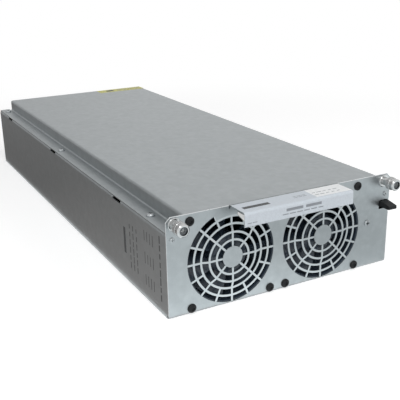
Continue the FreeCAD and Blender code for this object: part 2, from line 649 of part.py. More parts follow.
def side_wall(side, sign):
    """A side wall with its top flange, front tab, slots and screw holes."""
    body = new_body("side_wall_" + side)
    outer, inner = f"{sign} * {SIDE}", f"{sign} * ({SIDE} - sheet)"
    shelf, under = f"{sign} * ({SIDE} - ledge_width + sheet)", "ledge_height - 2 * sheet"
    section = folded_outline(new_sketch(body, "XZ_Plane", 0, 0, "case_length / 2 - sheet"), [
        (inner, 0), (outer, 0), (outer, WALL_TOP), (shelf, WALL_TOP), (shelf, under), (inner, under),
    ], {2: "bend", 5: "bend - sheet"})
    feature(body, "Pad", section, "case_length - sheet", backwards=True)
    tab = new_sketch(body, "XZ_Plane", 0, 0, "case_length / 2 - sheet")
    rectangle(tab, outer, "tab_bottom",
              f"{sign} * ({SIDE} - flange + 2 * sheet)", "ledge_height - 3 * sheet")
    feature(body, "Pad", tab, "sheet", backwards=True)
    # The front lower corner is notched to clear the fold between base and panel
    notch = rectangle(new_sketch(body, "YZ_Plane"), f"{FRONT} - sheet", "-sheet",
                      f"{FRONT} + 1.2 * bend", "1.2 * bend")
    feature(body, "Pocket", notch, "2 * case_width", "Symmetric")
    rivet = circle(new_sketch(body, "XZ_Plane", 0, 0, "case_length / 2 - sheet"),
                   f"{sign} * rivet_side", "rivet_height", "rivet_hole")
    feature(body, "Pocket", rivet, "4 * sheet", "Symmetric")
    slot = new_sketch(body, "YZ_Plane", 0, 0, outer)
    slot_top = "ledge_height - 1.4 * sheet"
    rectangle(slot, "wall_slot_front - wall_slot_length / 2", f"{slot_top} - wall_slot_height",
              "wall_slot_front + wall_slot_length / 2", slot_top)
    cut = feature(body, "Pocket", slot, "4 * sheet", "Symmetric")
    along(body, cut, (plane(body, "Y_Axis"), [""]), "2 * wall_slot_step", 3)
    hole = circle(new_sketch(body, "XY_Plane", 0, 0, WALL_TOP),
                  f"{sign} * ledge_screw", "ledge_screw_front", "rivet_hole")
    bored = feature(body, "Pocket", hole, "4 * sheet", "Symmetric")
    along(body, bored, (plane(body, "Y_Axis"), [""]), "2 * ledge_screw_step", 3)
    return node(body)


def top_cover():
    """The lid: a raised top with rounded edges, step walls and a ledge flange along each side."""
    body = new_body("top_cover")
    edge = f"({SIDE} - edge_inset)"
    under_ledge, under_top = "ledge_height - sheet", "case_height - sheet"
    section = folded_outline(new_sketch(body, "XZ_Plane", 0, 0, "case_length / 2 - 1.2 * sheet"), [
        (f"-{edge}", under_ledge), (f"-{edge}", "ledge_height"), (f"-{STEP}", "ledge_height"),
        (f"-{STEP}", "case_height"), (STEP, "case_height"), (STEP, "ledge_height"),
        (edge, "ledge_height"), (edge, under_ledge), (f"{STEP} - sheet", under_ledge),
        (f"{STEP} - sheet", under_top), (f"sheet - {STEP}", under_top), (f"sheet - {STEP}", under_ledge),
    ], {2: "bend - sheet", 3: "bend", 4: "bend", 5: "bend - sheet",
        8: "bend", 9: "bend - sheet", 10: "bend - sheet", 11: "bend"})
    feature(body, "Pad", section, "case_length - 1.2 * sheet", backwards=True)
    end = rectangle(new_sketch(body, "XY_Plane", 0, 0, under_ledge), f"-{STEP} - bend", REAR_FACE,
                    f"{STEP} + bend", f"{REAR} + sheet")
    feature(body, "Pocket", end, "case_height", "Symmetric")
    for side, sign in SIDES:
        hole = circle(new_sketch(body, "XY_Plane", 0, 0, WALL_TOP),
                      f"{sign} * ledge_screw", "ledge_screw_front", "cover_hole")
        bored = feature(body, "Pocket", hole, "4 * sheet", "Symmetric")
        along(body, bored, (plane(body, "Y_Axis"), [""]), "2 * ledge_screw_step", 3)
    return node(body)


def rear_panel():
    """The rear panel: a plate with folded top and bottom flanges, vent slots and the connector's cut-out."""
    body = new_body("rear_panel")
    inside = f"({REAR_FACE} - sheet)"
    flange_end = f"({REAR_FACE} - flange)"
    top = "case_height - sheet"
    section = folded_outline(new_sketch(body, "YZ_Plane"), [
        (flange_end, "sheet"), (REAR_FACE, "sheet"), (REAR_FACE, top), (flange_end, top),
        (flange_end, "case_height - 2 * sheet"), (inside, "case_height - 2 * sheet"),
        (inside, "2 * sheet"), (flange_end, "2 * sheet"),
    ], {1: "bend", 2: "bend", 5: "bend - sheet", 6: "bend - sheet"})
    feature(body, "Pad", section, f"2 * ({STEP} - 2.5 * sheet)", "Symmetric")
    wing, shoulder = f"({SIDE} - 1.4 * sheet)", "(ledge_height - 3.6 * sheet)"
    for side, sign in SIDES:
        plate = new_sketch(body, "XZ_Plane", 0, 0, f"-{REAR_FACE}")
        rectangle(plate, f"{sign} * ({STEP} - 4 * sheet)", "bend + 2 * sheet", f"{sign} * {wing}", shoulder)
        feature(body, "Pad", plate, "sheet")
    for row, count in (("vent_high", 29), ("vent_low", 15)):
        vent = new_sketch(body, "XZ_Plane", 0, 0, f"-{REAR_FACE}")
        rectangle(vent, "vent_left", row, "vent_left + vent_width", f"{row} + {row}_height")
        slot = feature(body, "Pocket", vent, "4 * sheet", "Symmetric")
        along(body, slot, (plane(body, "X_Axis"), [""]), f"{count - 1} * vent_pitch", count)
    opening = new_sketch(body, "XZ_Plane", 0, 0, f"-{REAR_FACE}")
    rectangle(opening, "connector_left", "connector_bottom", "connector_left + connector_width",
              "connector_bottom + connector_height")
    for end in ("connector_left - connector_ear", "connector_left + connector_width + connector_ear"):
        circle(opening, end, "connector_bottom + connector_height / 2", "rivet_hole")
    feature(body, "Pocket", opening, "4 * sheet", "Symmetric")
    return node(body)


def fasteners():
    """Panel rivets, cover screws, fan push rivets, the bracket screw and the connector screws."""
    panel_rivet = turned("panel_rivet_pattern", "XY_Plane", [
        (0, 0), ("mandrel", 0), ("mandrel", "-rivet_dome"), ("rivet_shank", "-rivet_dome"),
        ("rivet_head", "-rivet_dome / 2"), ("rivet_head", 0), ("rivet_shank", 0),
        ("rivet_shank", "2 * sheet"),
        ("rivet_head", "2 * sheet"), ("rivet_head", "2 * sheet + rivet_dome"),
        ("rivet_shank", "2 * sheet + rivet_upset"), (0, "2 * sheet + rivet_upset"),
    ])
    group("panel_rivets", panel_rivet, [
        (f"{sign} * rivet_side", FRONT, "rivet_height") for side, sign in SIDES
    ])
    cover_screw = turned("cover_screw_pattern", "XZ_Plane", [
        (0, "-cover_reach"), ("cover_shank - turned_edge", "-cover_reach"),
        ("cover_shank", "turned_edge - cover_reach"), ("cover_shank", 0), ("cover_head", 0),
        ("cover_head", "cover_dome / 3"), ("0.8 * cover_head", "0.8 * cover_dome"),
        ("0.4 * cover_head", "cover_dome"), (0, "cover_dome"),
    ])
    cross_recess(cover_screw, "XY_Plane", "cover_dome", "0.5 * cover_head")
    group("cover_screws", cover_screw, [
        (f"{sign} * ledge_screw", f"ledge_screw_front + {step} * ledge_screw_step", "ledge_height")
        for side, sign in SIDES for step in range(3)
    ])
    rivet_end = "sheet + fan_rim + push_head / 2"
    push_rivet = turned("fan_rivet_pattern", "XY_Plane", [
        (0, "-0.6 * push_dome"), ("0.35 * push_head", "-0.6 * push_dome"),
        ("0.42 * push_head", "-push_dome"), ("0.75 * push_head", "-0.8 * push_dome"),
        ("push_head", "-0.3 * push_dome"), ("push_head", 0), ("push_shank", 0),
        ("push_shank", "sheet + fan_rim"), ("0.7 * push_shank", rivet_end), (0, rivet_end),
    ])
    group("fan_rivets", push_rivet, [
        (f"{fan} {across} fan_pitch / 2", FRONT, f"fan_height {up} fan_pitch / 2")
        for side, fan in FANS for across in "-+" for up in "-+"
    ])
    ends = ("connector_left - connector_ear", "connector_left + connector_width + connector_ear")
    level = "connector_bottom + connector_height / 2"
    for label, facing, spots in (
        ("bracket_screw", "-1", [("bracket_screw_x", FRONT, "bracket_screw_z")]),
        ("connector_screws", "1", [(end, REAR_FACE, level) for end in ends]),
    ):
        small_screw = turned(label + "_pattern", "XY_Plane", [
            (0, f"{facing} * small_dome"), ("0.7 * small_head", f"{facing} * small_dome"),
            ("small_head", f"{facing} * small_dome / 2"), ("small_head", 0), ("small_shank", 0),
            ("small_shank", f"{facing} * -small_reach"), (0, f"{facing} * -small_reach"),
        ])
        cross_recess(small_screw, "XZ_Plane", f"{facing} * -small_dome", "0.66 * small_head", facing == "1")
        group(label, small_screw, spots)


def fan_frame(side, fan):
    """A fan housing: two square rims on a round duct, a motor seat on four struts and the bearing tube."""
    body = new_body("fan_frame_" + side)
    half = "fan_size / 2"
    for start in (0, "fan_depth - fan_rim"):
        rim = new_sketch(body, "XZ_Plane", 0, 0, f"-({start})")
        folded_outline(rim, [(f"-{half}", f"-{half}"), (half, f"-{half}"), (half, half), (f"-{half}", half)],
                       dict.fromkeys(range(4), "fan_corner"))
        circle(rim, 0, 0, "fan_bore")
        feature(body, "Pad", rim, "fan_rim", backwards=True)
        if start == 0:
            duct = new_sketch(body, "XZ_Plane")
            circle(duct, 0, 0, "fan_bore + duct_wall")
            circle(duct, 0, 0, "fan_bore")
            feature(body, "Pad", duct, "fan_depth", backwards=True)
    strut = new_sketch(body, "XZ_Plane", 0, 0, "-fan_depth")
    rectangle(strut, "-strut_width / 2", "rotor_hub - strut_width",
              "strut_width / 2", "fan_bore + duct_wall / 2")
    bar = feature(body, "Pad", strut, "fan_rim + sheet")
    around(body, bar, (plane(body, "Y_Axis"), [""]), 4)
    seat = new_sketch(body, "XY_Plane")
    bore, seat_radius = "shaft_radius + running_gap", "rotor_hub - turned_edge"
    shaft_end, seat_front = "fan_depth - shaft_radius", "fan_depth - bearing_setback"
    polygon(seat, [
        (0, shaft_end), (bore, shaft_end), (bore, "bearing_setback"), ("bearing_radius", "bearing_setback"),
        ("bearing_radius", seat_front), (seat_radius, seat_front),
        (seat_radius, "fan_depth"), (0, "fan_depth"),
    ])
    turn(body, seat)
    holes = new_sketch(body, "XZ_Plane")
    for across in "-+":
        for up in "-+":
            circle(holes, f"{across} fan_pitch / 2", f"{up} fan_pitch / 2", "fan_hole")
    feature(body, "Pocket", holes, "3 * fan_depth", "Symmetric")
    # The front lower edge is bevelled to clear the fold between base and panel
    relief = new_sketch(body, "YZ_Plane")
    polygon(relief, [
        ("-sheet", f"-{half} - sheet"), ("bend", f"-{half} - sheet"), ("-sheet", f"-{half} + bend"),
    ])
    feature(body, "Pocket", relief, "2 * fan_size", "Symmetric")
    place(body, fan, BEHIND_PANEL, "fan_height")
    return node(body)


def fan_motor(side, fan):
    """The motor's pole stack, pressed on the bearing tube inside the rotor's hub."""
    body = new_body("fan_motor_" + side)
    stack = new_sketch(body, "XZ_Plane", 0, 0, "-stack_front")
    circle(stack, 0, 0, "rotor_hub - 2 * cup_wall - turned_edge")
    circle(stack, 0, 0, "bearing_radius")
    feature(body, "Pad", stack, "stack_length", backwards=True)
    gap = new_sketch(body, "XZ_Plane", 0, 0, "-stack_front")
    rectangle(gap, "-pole_gap / 2", "1.5 * bearing_radius", "pole_gap / 2", "rotor_hub")
    cut = feature(body, "Pocket", gap, "3 * stack_length", "Symmetric")
    around(body, cut, (plane(body, "Y_Axis"), [""]), 4)
    place(body, fan, BEHIND_PANEL, "fan_height")
    return node(body)


def fan_rotor(side, fan):
    """A fan wheel: a hub cup with its shaft and twisted blades, trimmed round at the tips."""
    body = new_body("fan_rotor_" + side)
    hub = new_sketch(body, "XY_Plane")
    cup, shaft_end = "rotor_hub - cup_wall", "rotor_depth + bearing_setback + turned_edge"
    polygon(hub, [
        (0, 0), (cup, 0), ("rotor_hub", "cup_wall"), ("rotor_hub", "rotor_depth"), (cup, "rotor_depth"),
        (cup, "rotor_setback"), ("shaft_radius", "rotor_setback"),
        ("shaft_radius", shaft_end), (0, shaft_end),
    ])
    turn(body, hub)
    front_edge, middle_thickness, rear_edge = 1.2, 1.8, 1.6
    # Blade sections at the root, the middle and the tip: half chord across, front and rear edge, bow
    stations = [("rotor_hub - 1.5", 6.5, 3.5, 22.5, 1.0), ("rotor_tip * 0.7", 10, 4, 21.5, 1.8),
                ("rotor_tip + 0.4", 13.5, 5, 20.5, 2.2)]
    sections = []
    for radius, half_chord, front, rear, bow in stations:
        blade = new_sketch(body, "XY_Plane", 0, 0, radius)
        middle = (front + rear) / 2
        polygon(blade, [
            (-half_chord, front), (bow, middle - bow), (half_chord, rear - rear_edge),
            (half_chord, rear), (bow, middle - bow + middle_thickness), (-half_chord, front + front_edge),
        ])
        sections.append(blade)
    loft = body.newObject("PartDesign::AdditiveLoft", "blade")
    loft.Profile = sections[0]
    loft.Sections = sections[1:]
    around(body, loft, (plane(body, "Y_Axis"), [""]), "blade_count")
    trim = new_sketch(body, "XY_Plane")
    rectangle(trim, "rotor_tip", -2, "rotor_tip + 12", "rotor_depth + 4")
    turn(body, trim, "Groove")
    place(body, fan, f"{BEHIND_PANEL} + rotor_setback", "fan_height")
    return node(body)


def spring(label, role, radius, length, turns, wire):
    """A coil spring about the sketch's upright axis, from a six-sided wire section."""
    body = new_body(label)
    section = new_sketch(body, role)
    half = f"{wire} / 2"
    angles = [math.radians(60 * step) for step in range(6)]
    polygon(section, [
        (f"{radius} + {half} * {math.cos(angle):.4f}", f"{half} + {half} * {math.sin(angle):.4f}")
        for angle in angles
    ])
    coil = body.newObject("PartDesign::AdditiveHelix", "coil")
    coil.Profile = section
    coil.ReferenceAxis = (section, ["V_Axis"])
    coil.Mode = "height-turns-angle"
    bind(coil, "Height", f"{length} - {wire}")
    coil.Turns = turns
    coil.Angle = 0
    return node(body)


def captive_screw(side, sign):
    """A spring-loaded thumb screw: ferrule in the panel, thrust washer, spring and knob on its shank."""
    spot = (f"{sign} * screw_side", FRONT, "screw_height")
    ferrule = turned("screw_ferrule_" + side, "XY_Plane", [
        ("ferrule_bore", "-ferrule_length"), ("ferrule_radius", "-ferrule_length"),
        ("ferrule_radius", "-ferrule_foot"), ("ferrule_flange - turned_edge", "-ferrule_foot"),
        ("ferrule_flange", "turned_edge - ferrule_foot"), ("ferrule_flange", 0), ("ferrule_neck", 0),
        ("ferrule_neck", "sheet"), ("ferrule_bore", "sheet"),
    ])
    place(node(ferrule), *spot)
    cavity_end = "knob_wall - knob_front"
    washer_front = f"{cavity_end} + 2 * running_gap"
    washer_rear = f"{washer_front} + washer_thickness"
    washer = turned("screw_washer_" + side, "XY_Plane", [
        ("washer_inner", washer_front), ("washer_outer", washer_front),
        ("washer_outer", washer_rear), ("washer_inner", washer_rear),
    ])
    place(node(washer), *spot)
    stop_front, stop_rear = "sheet + stop_rise / 3", "sheet + 4 * stop_rise / 3"
    screw = turned("captive_screw_" + side, "XY_Plane", [
        (0, "well_depth - knob_front"), ("knob_well", "well_depth - knob_front"),
        ("knob_well", "-knob_front"), ("knob_face - 2 * turned_edge", "-knob_front"),
        ("knob_face", "2 * turned_edge - knob_front"),
        ("knob_face", "-knob_step"), ("knob_groove", "-knob_step"), ("knob_groove", "knob_gap - knob_step"),
        ("knob_radius - turned_edge", "knob_gap - knob_step"),
        ("knob_radius", "knob_gap + turned_edge - knob_step"), ("knob_radius", "-knob_back - turned_edge"),
        ("knob_radius - turned_edge", "-knob_back"), ("knob_cavity", "-knob_back"),
        ("knob_cavity", cavity_end), ("screw_radius", cavity_end), ("screw_radius", stop_front),
        ("screw_radius + stop_rise", stop_front),
        ("screw_radius + stop_rise", stop_rear), ("screw_radius", stop_rear),
        ("screw_radius", "screw_end - turned_edge"), ("screw_radius - turned_edge", "screw_end"),
        (0, "screw_end"),
    ])
    cross_recess(screw, "XZ_Plane", "knob_front - well_depth", "0.6 * knob_well")
    flute = new_sketch(screw, "XZ_Plane", 0, 0, "knob_step - knob_gap")
    circle(flute, 0, "knob_radius + flute_radius / 3", "flute_radius")
    groove = feature(screw, "Pocket", flute, "knob_step - knob_back")
    around(screw, groove, (plane(screw, "Y_Axis"), [""]), "flute_count")
    place(node(screw), *spot)
    length = "(knob_front - knob_wall - washer_thickness - 4 * running_gap - ferrule_length)"
    coil = spring("screw_spring_" + side, "XY_Plane", "spring_radius", length, 3, "spring_wire")
    place(coil, spot[0], f"{FRONT} - ferrule_length - {length} + running_gap / 2", spot[2])


def release_lever():
    """The lever in the panel's slot: a tapered thumb tab, a hub on the pin and a flag for the sensor."""
    body = new_body("release_lever")
    neck = "(lever_hub - sheet / 2)"
    tab = polygon(new_sketch(body, "YZ_Plane"), [
        ("-lever_reach", "lever_under"), ("-lever_reach", "tip_top"),
        ("-lever_shoulder", "lever_top - sheet / 3"), (0, "lever_top"), ("2 * lever_shoulder", "lever_top"),
        ("pivot_depth", f"pivot_height + {neck}"), ("pivot_depth", f"pivot_height - {neck}"),
        ("2 * lever_shoulder", "lever_under - sheet"), (0, "lever_under"),
    ])
    feature(body, "Pad", tab, "lever_width", "Symmetric")
    hub = circle(new_sketch(body, "YZ_Plane"), "pivot_depth", "pivot_height", "lever_hub")
    feature(body, "Pad", hub, "lever_width + 4 * running_gap", "Symmetric")
    root = "pivot_depth + lever_hub / 2"
    flag = rectangle(new_sketch(body, "YZ_Plane"), root, "flag_top - flag_height", "flag_end", "flag_top")
    feature(body, "Pad", flag, "flag_width", "Symmetric")
    seat_end = "coil_depth + coil_radius + 2 * coil_wire"
    seat = rectangle(new_sketch(body, "YZ_Plane"), root, "pivot_height", seat_end, "flag_top")
    feature(body, "Pad", seat, "4 * flag_width", "Symmetric")
    bore = circle(new_sketch(body, "YZ_Plane"), "pivot_depth", "pivot_height", "pin_radius + running_gap")
    feature(body, "Pocket", bore, "3 * lever_width", "Symmetric")
    doc.recompute()
    tip = -value("lever_reach")
    names = edges_where(body.Shape, lambda middle, edge: abs(middle.y - tip) < 0.01 and abs(middle.x) < 0.01)
    base = body.Tip
    round_tip = body.newObject("PartDesign::Fillet", "tip_round")
    round_tip.Base = (base, names)
    bind(round_tip, "Radius", "0.8 * sheet")
    place(body, LEVER_MIDDLE, FRONT, 0)
    return node(body)


def lever_bracket():
    """The lever's bracket, folded from one strip: fixing plate, ears for the pin and a sensor shelf."""
    body = new_body("lever_bracket")
    left, right = "(slot_left - 1.2 * sheet)", "(slot_right - 0.3 * sheet)"
    left_inside, right_outside = f"({left} + sheet)", f"({right} + sheet)"
    web, web_rear = f"({FRONT} + bracket_rear)", f"({FRONT} + bracket_rear + sheet)"
    plate_rear, ear_front = f"({BEHIND_PANEL} + sheet)", f"({BEHIND_PANEL} + bend)"
    strip = folded_outline(new_sketch(body, "XY_Plane", 0, 0, "bracket_bottom"), [
        ("bracket_left", BEHIND_PANEL), (left_inside, BEHIND_PANEL), (left_inside, web), (right, web),
        (right, ear_front), (right_outside, ear_front), (right_outside, web_rear), (left, web_rear),
        (left, plate_rear), ("bracket_left", plate_rear),
    ], {1: "bend", 2: "bend - sheet", 3: "bend - sheet", 6: "bend", 7: "bend", 8: "bend - sheet"})
    feature(body, "Pad", strip, "ear_top - bracket_bottom")
    shelf_end, shelf_under = f"{left} + shelf_width", "shelf_height - sheet"
    shelf = folded_outline(new_sketch(body, "XZ_Plane", 0, 0, f"-({FRONT} + shelf_front)"), [
        (left, "ear_top - sheet"), (left_inside, "ear_top - sheet"), (left_inside, shelf_under),
        (shelf_end, shelf_under), (shelf_end, "shelf_height"), (left, "shelf_height"),
    ], {2: "bend - sheet", 5: "bend"})
    feature(body, "Pad", shelf, "bracket_rear - shelf_front - bend + sheet", backwards=True)
    pin_hole = circle(new_sketch(body, "YZ_Plane"), f"{FRONT} + pivot_depth", "pivot_height", "pin_radius")
    feature(body, "Pocket", pin_hole, "2 * case_width", "Symmetric")
    screw_hole = circle(new_sketch(body, "XZ_Plane", 0, 0, f"-{BEHIND_PANEL}"),
                        "bracket_screw_x", "bracket_screw_z", "rivet_hole")
    feature(body, "Pocket", screw_hole, "4 * sheet", "Symmetric")
    node(body)
    pin = doc.addObject("Part::Cylinder", "lever_pin")
    pin.Label = "lever_pin"
    bind(pin, "Radius", "pin_radius")
    bind(pin, "Height", f"{right_outside} - {left}")
    pin.Placement.Rotation = FreeCAD.Rotation(FreeCAD.Vector(0, 1, 0), 90)
    node(place(pin, left, f"{FRONT} + pivot_depth", "pivot_height"))
    rise = "(shelf_height - sheet - flag_top - 8 * running_gap)"
    coil = spring("lever_spring", "XZ_Plane", "coil_radius", rise, 5, "coil_wire")
    place(coil, LEVER_MIDDLE, f"{FRONT} + coil_depth", "flag_top + 4 * running_gap")
    sensor = new_body("interlock_sensor")
    half, slot = "sensor_length / 2", "sensor_slot / 2"
    outline = polygon(new_sketch(sensor, "XZ_Plane"), [
        (f"-{half}", 0), (f"-{slot}", 0), (f"-{slot}", "sensor_reach"), (slot, "sensor_reach"), (slot, 0),
        (half, 0), (half, "sensor_height"), (f"-{half}", "sensor_height"),
    ])
    feature(sensor, "Pad", outline, "sensor_length", backwards=True)
    place(node(sensor), LEVER_MIDDLE, f"{FRONT} + sensor_depth", "shelf_height - sheet - sensor_height")


def boards():
    """Insulating sheet, stand-offs, main board with its screws, and the upright control board."""
    right, rear = "board_width / 2", "board_front + board_length"
    posts = [(f"{across} * (board_width / 2 - board_inset)",
              f"board_front + board_inset + {part} * (board_length - 2 * board_inset)")
             for across in (-1, 1) for part in (0, 0.5, 1)]
    film = new_body("insulating_sheet")
    drawing = rectangle(new_sketch(film, "XY_Plane", 0, 0, "sheet"), f"-{right} - film_margin",
                        "board_front - film_margin", f"{right} + film_margin", f"{rear} + film_margin")
    board = new_body("main_board")
    panel = rectangle(new_sketch(board, "XY_Plane", 0, 0, "sheet + board_lift"), f"-{right}", "board_front",
                      right, rear)
    for x, y in posts:
        circle(drawing, x, y, "post_radius + film_thickness")
        circle(panel, x, y, "post_bore + 2 * running_gap")
    feature(film, "Pad", drawing, "film_thickness")
    feature(board, "Pad", panel, "board_thickness")
    node(film)
    node(board)
    post = turned("standoff_pattern", "XZ_Plane", [
        ("post_bore", 0), ("post_radius", 0), ("post_radius", "board_lift"), ("post_bore", "board_lift"),
    ])
    group("board_standoffs", post, [(x, y, "sheet") for x, y in posts])
    screw = turned("board_screw_pattern", "XZ_Plane", [
        (0, "-board_screw_reach"), ("post_bore - running_gap", "-board_screw_reach"),
        ("post_bore - running_gap", 0),
        ("board_screw_head", 0), ("board_screw_head", "sheet"), ("0.65 * board_screw_head", "2 * sheet"),
        (0, "2 * sheet"),
    ])
    group("board_screws", screw, [(x, y, BOARD_TOP) for x, y in posts])
    control = box("control_board", ("board_thickness", "control_length", "control_height"),
                  ("control_side", "control_front", BOARD_TOP))
    node(control)


def heat_sink(side, sign):
    """An extruded heat sink: an upright plate with level fins on its outer face."""
    body = new_body("heatsink_" + side)
    top = f"{BOARD_TOP} + sink_height"
    section = new_sketch(body, "XZ_Plane", 0, 0, "-sink_front")
    rectangle(section, f"{sign} * sink_side", BOARD_TOP, f"{sign} * (sink_side + sink_plate)", top)
    feature(body, "Pad", section, "sink_length", backwards=True)
    fin = new_sketch(body, "XZ_Plane", 0, 0, "-sink_front")
    rectangle(fin, f"{sign} * (sink_side + sink_plate / 2)", f"{top} - fin_thickness",
              f"{sign} * (sink_side + sink_plate + fin_length)", top)
    blade = feature(body, "Pad", fin, "sink_length", backwards=True)
    pattern = along(body, blade, (plane(body, "Z_Axis"), [""]), "(fin_count - 1) * fin_pitch", "fin_count")
    pattern.Reversed = True
    return node(body)


def components():
    """What stands on the main board: transistors, capacitors, inductors and the transformer."""
    package = box("transistor_pattern", ("package_depth", "package_width", "package_height"), (0, 0, 0))
    places = []
    for side, sign in SIDES:
        face = "sink_side - package_depth" if sign == "1" else "-sink_side"
        for step in range(6):
            row = f"sink_front + package_width + {step} * package_pitch"
            places.append((face, row, f"{BOARD_TOP} + package_lift"))
    group("power_transistors", package, places)
    inside, rim = "can_radius - can_edge", "0.8 * can_radius"
    can = turned("capacitor_pattern", "XZ_Plane", [
        (0, 0), (inside, 0), ("can_radius", "can_edge"), ("can_radius", "can_bead - can_edge"),
        (inside, "can_bead"), ("can_radius", "can_bead + can_edge"), ("can_radius", "can_height - can_edge"),
        (inside, "can_height"), (rim, "can_height"), (rim, "can_height - can_edge"),
        (0, "can_height - can_edge"),
    ])
    group("capacitor_bank", can, [
        (f"{across} * can_side", f"sink_front + {row} * can_pitch", BOARD_TOP)
        for across in (-1, 1) for row in (1, 2, 3)
    ])
    ring = doc.addObject("Part::Torus", "inductor_pattern")
    bind(ring, "Radius1", "ring_radius")
    bind(ring, "Radius2", "ring_section")
    group("inductors", ring, [
        (f"{across} * ring_pitch", "ring_row", f"{BOARD_TOP} + ring_section") for across in (-1, 0)
    ])
    core = new_body("transformer_core")
    half, window, limb = "(core_width / 2)", "(core_width / 2 - core_limb)", "(core_centre / 2)"
    frame = rectangle(new_sketch(core, "XZ_Plane"), f"-{half}", 0, half, "core_height")
    rectangle(frame, f"-{window}", "core_limb", f"-{limb}", "core_height - core_limb")
    rectangle(frame, limb, "core_limb", window, "core_height - core_limb")
    feature(core, "Pad", frame, "core_depth", backwards=True)
    place(node(core), "core_x", "core_y", BOARD_TOP)
    winding = new_body("transformer_winding")
    side, rear = f"({window} - coil_gap)", "core_depth + coil_overhang"
    coil = new_sketch(winding, "XY_Plane", 0, 0, "core_limb + coil_gap")
    folded_outline(coil, [
        (f"-{side}", "-coil_overhang"), (side, "-coil_overhang"), (side, rear), (f"-{side}", rear),
    ], dict.fromkeys(range(4), "coil_corner"))
    rectangle(coil, f"-{limb} - coil_gap", "-coil_gap", f"{limb} + coil_gap", "core_depth + coil_gap")
    feature(winding, "Pad", coil, "core_height - 2 * core_limb - 2 * coil_gap")
    place(node(winding), "core_x", "core_y", BOARD_TOP)


def rear_connector():
    """The blind-mating connector in the rear panel: a block with sockets, and its contact blades."""
    body = new_body("rear_connector")
    middle = "connector_left + connector_width / 2"
    level = "connector_bottom + connector_height / 2"
    half, rise = "(connector_width / 2 - connector_gap)", "(connector_height / 2 - connector_gap)"
    block = rectangle(new_sketch(body, "XZ_Plane", 0, 0, "-connector_nose"),
                      f"-{half}", f"-{rise}", half, rise)
    feature(body, "Pad", block, "connector_depth")
    flange = rectangle(new_sketch(body, "XZ_Plane", 0, 0, "sheet"),
                       f"-{half} - connector_flange", f"-{rise}", f"{half} + connector_flange", rise)
    feature(body, "Pad", flange, "flange_depth")
    for end in ("-1", "1"):
        hole = circle(new_sketch(body, "XZ_Plane", 0, 0, "sheet"),
                      f"{end} * (connector_width / 2 + connector_ear)", 0, "small_shank + running_gap")
        feature(body, "Pocket", hole, "4 * flange_depth", "Symmetric")
    first, reach = "(-(socket_count - 1) / 2 * socket_pitch)", "(socket_count - 1) * socket_pitch"
    socket = rectangle(new_sketch(body, "XZ_Plane", 0, 0, "-connector_nose"), f"{first} - socket_width / 2",
                       "-socket_height / 2", f"{first} + socket_width / 2", "socket_height / 2")
    well = feature(body, "Pocket", socket, "socket_depth", backwards=True)
    along(body, well, (plane(body, "X_Axis"), [""]), reach, "socket_count")
    place(node(body), middle, REAR_FACE, level)
    blade = box("contact_pattern", ("blade_width", "blade_length", "blade_height"),
                ("-blade_width / 2", "-blade_length", "-blade_height / 2"))
    places = [(f"{middle} + {first} + {step} * socket_pitch", REAR_FACE, level)
              for step in range(int(value("socket_count")))]
    group("rear_contacts", blade, places)


base_pan()
top_cover()
rear_panel()
for side, sign in SIDES:
    side_wall(side, sign)
    captive_screw(side, sign)
    heat_sink(side, sign)
for side, fan in FANS:
    fan_frame(side, fan)
    fan_motor(side, fan)
    fan_rotor(side, fan)
fasteners()
release_lever()
lever_bracket()
boards()
components()
rear_connector()
doc.recompute()

for item in doc.Objects:
    faults = [word for word in item.State if word in ("Invalid", "Error")]
    if faults:
        raise RuntimeError(f"{item.Label} failed to build: {faults}")
for item in nodes:
    if item.Shape.isNull() or not item.Shape.isValid():
        raise RuntimeError(f"{item.Label} has no valid shape")

os.makedirs("parts", exist_ok=True)
for item in nodes:
    item.Shape.exportStep(os.path.join("parts", item.Label + ".step"))
    extent = item.Shape.BoundBox
    print(f"{item.Label}: {len(item.Shape.Solids)} solids, {item.Shape.Volume:.0f} mm3,"
          f" {extent.XLength:.1f} x {extent.YLength:.1f} x {extent.ZLength:.1f}")
print(len(nodes), "nodes")
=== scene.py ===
# %% [markdown]
# # Dressing a slide-in power module
# The object is the power module of a large battery backup: a long flat case folded from galvanised
# sheet, two fans behind guards punched in its front panel, a thumb screw at each top corner, a black
# release lever and a lip that serves as the handle. The solids come from the CAD frame and are never
# moved here. This lesson gives every surface its finish, puts joined copies in place of the springs, adds
# the labels and the printing, and then sets up the studio and the camera.

# %% Load the frame
import json
import math

import bmesh
import bpy
from mathutils import Matrix, Quaternion, Vector

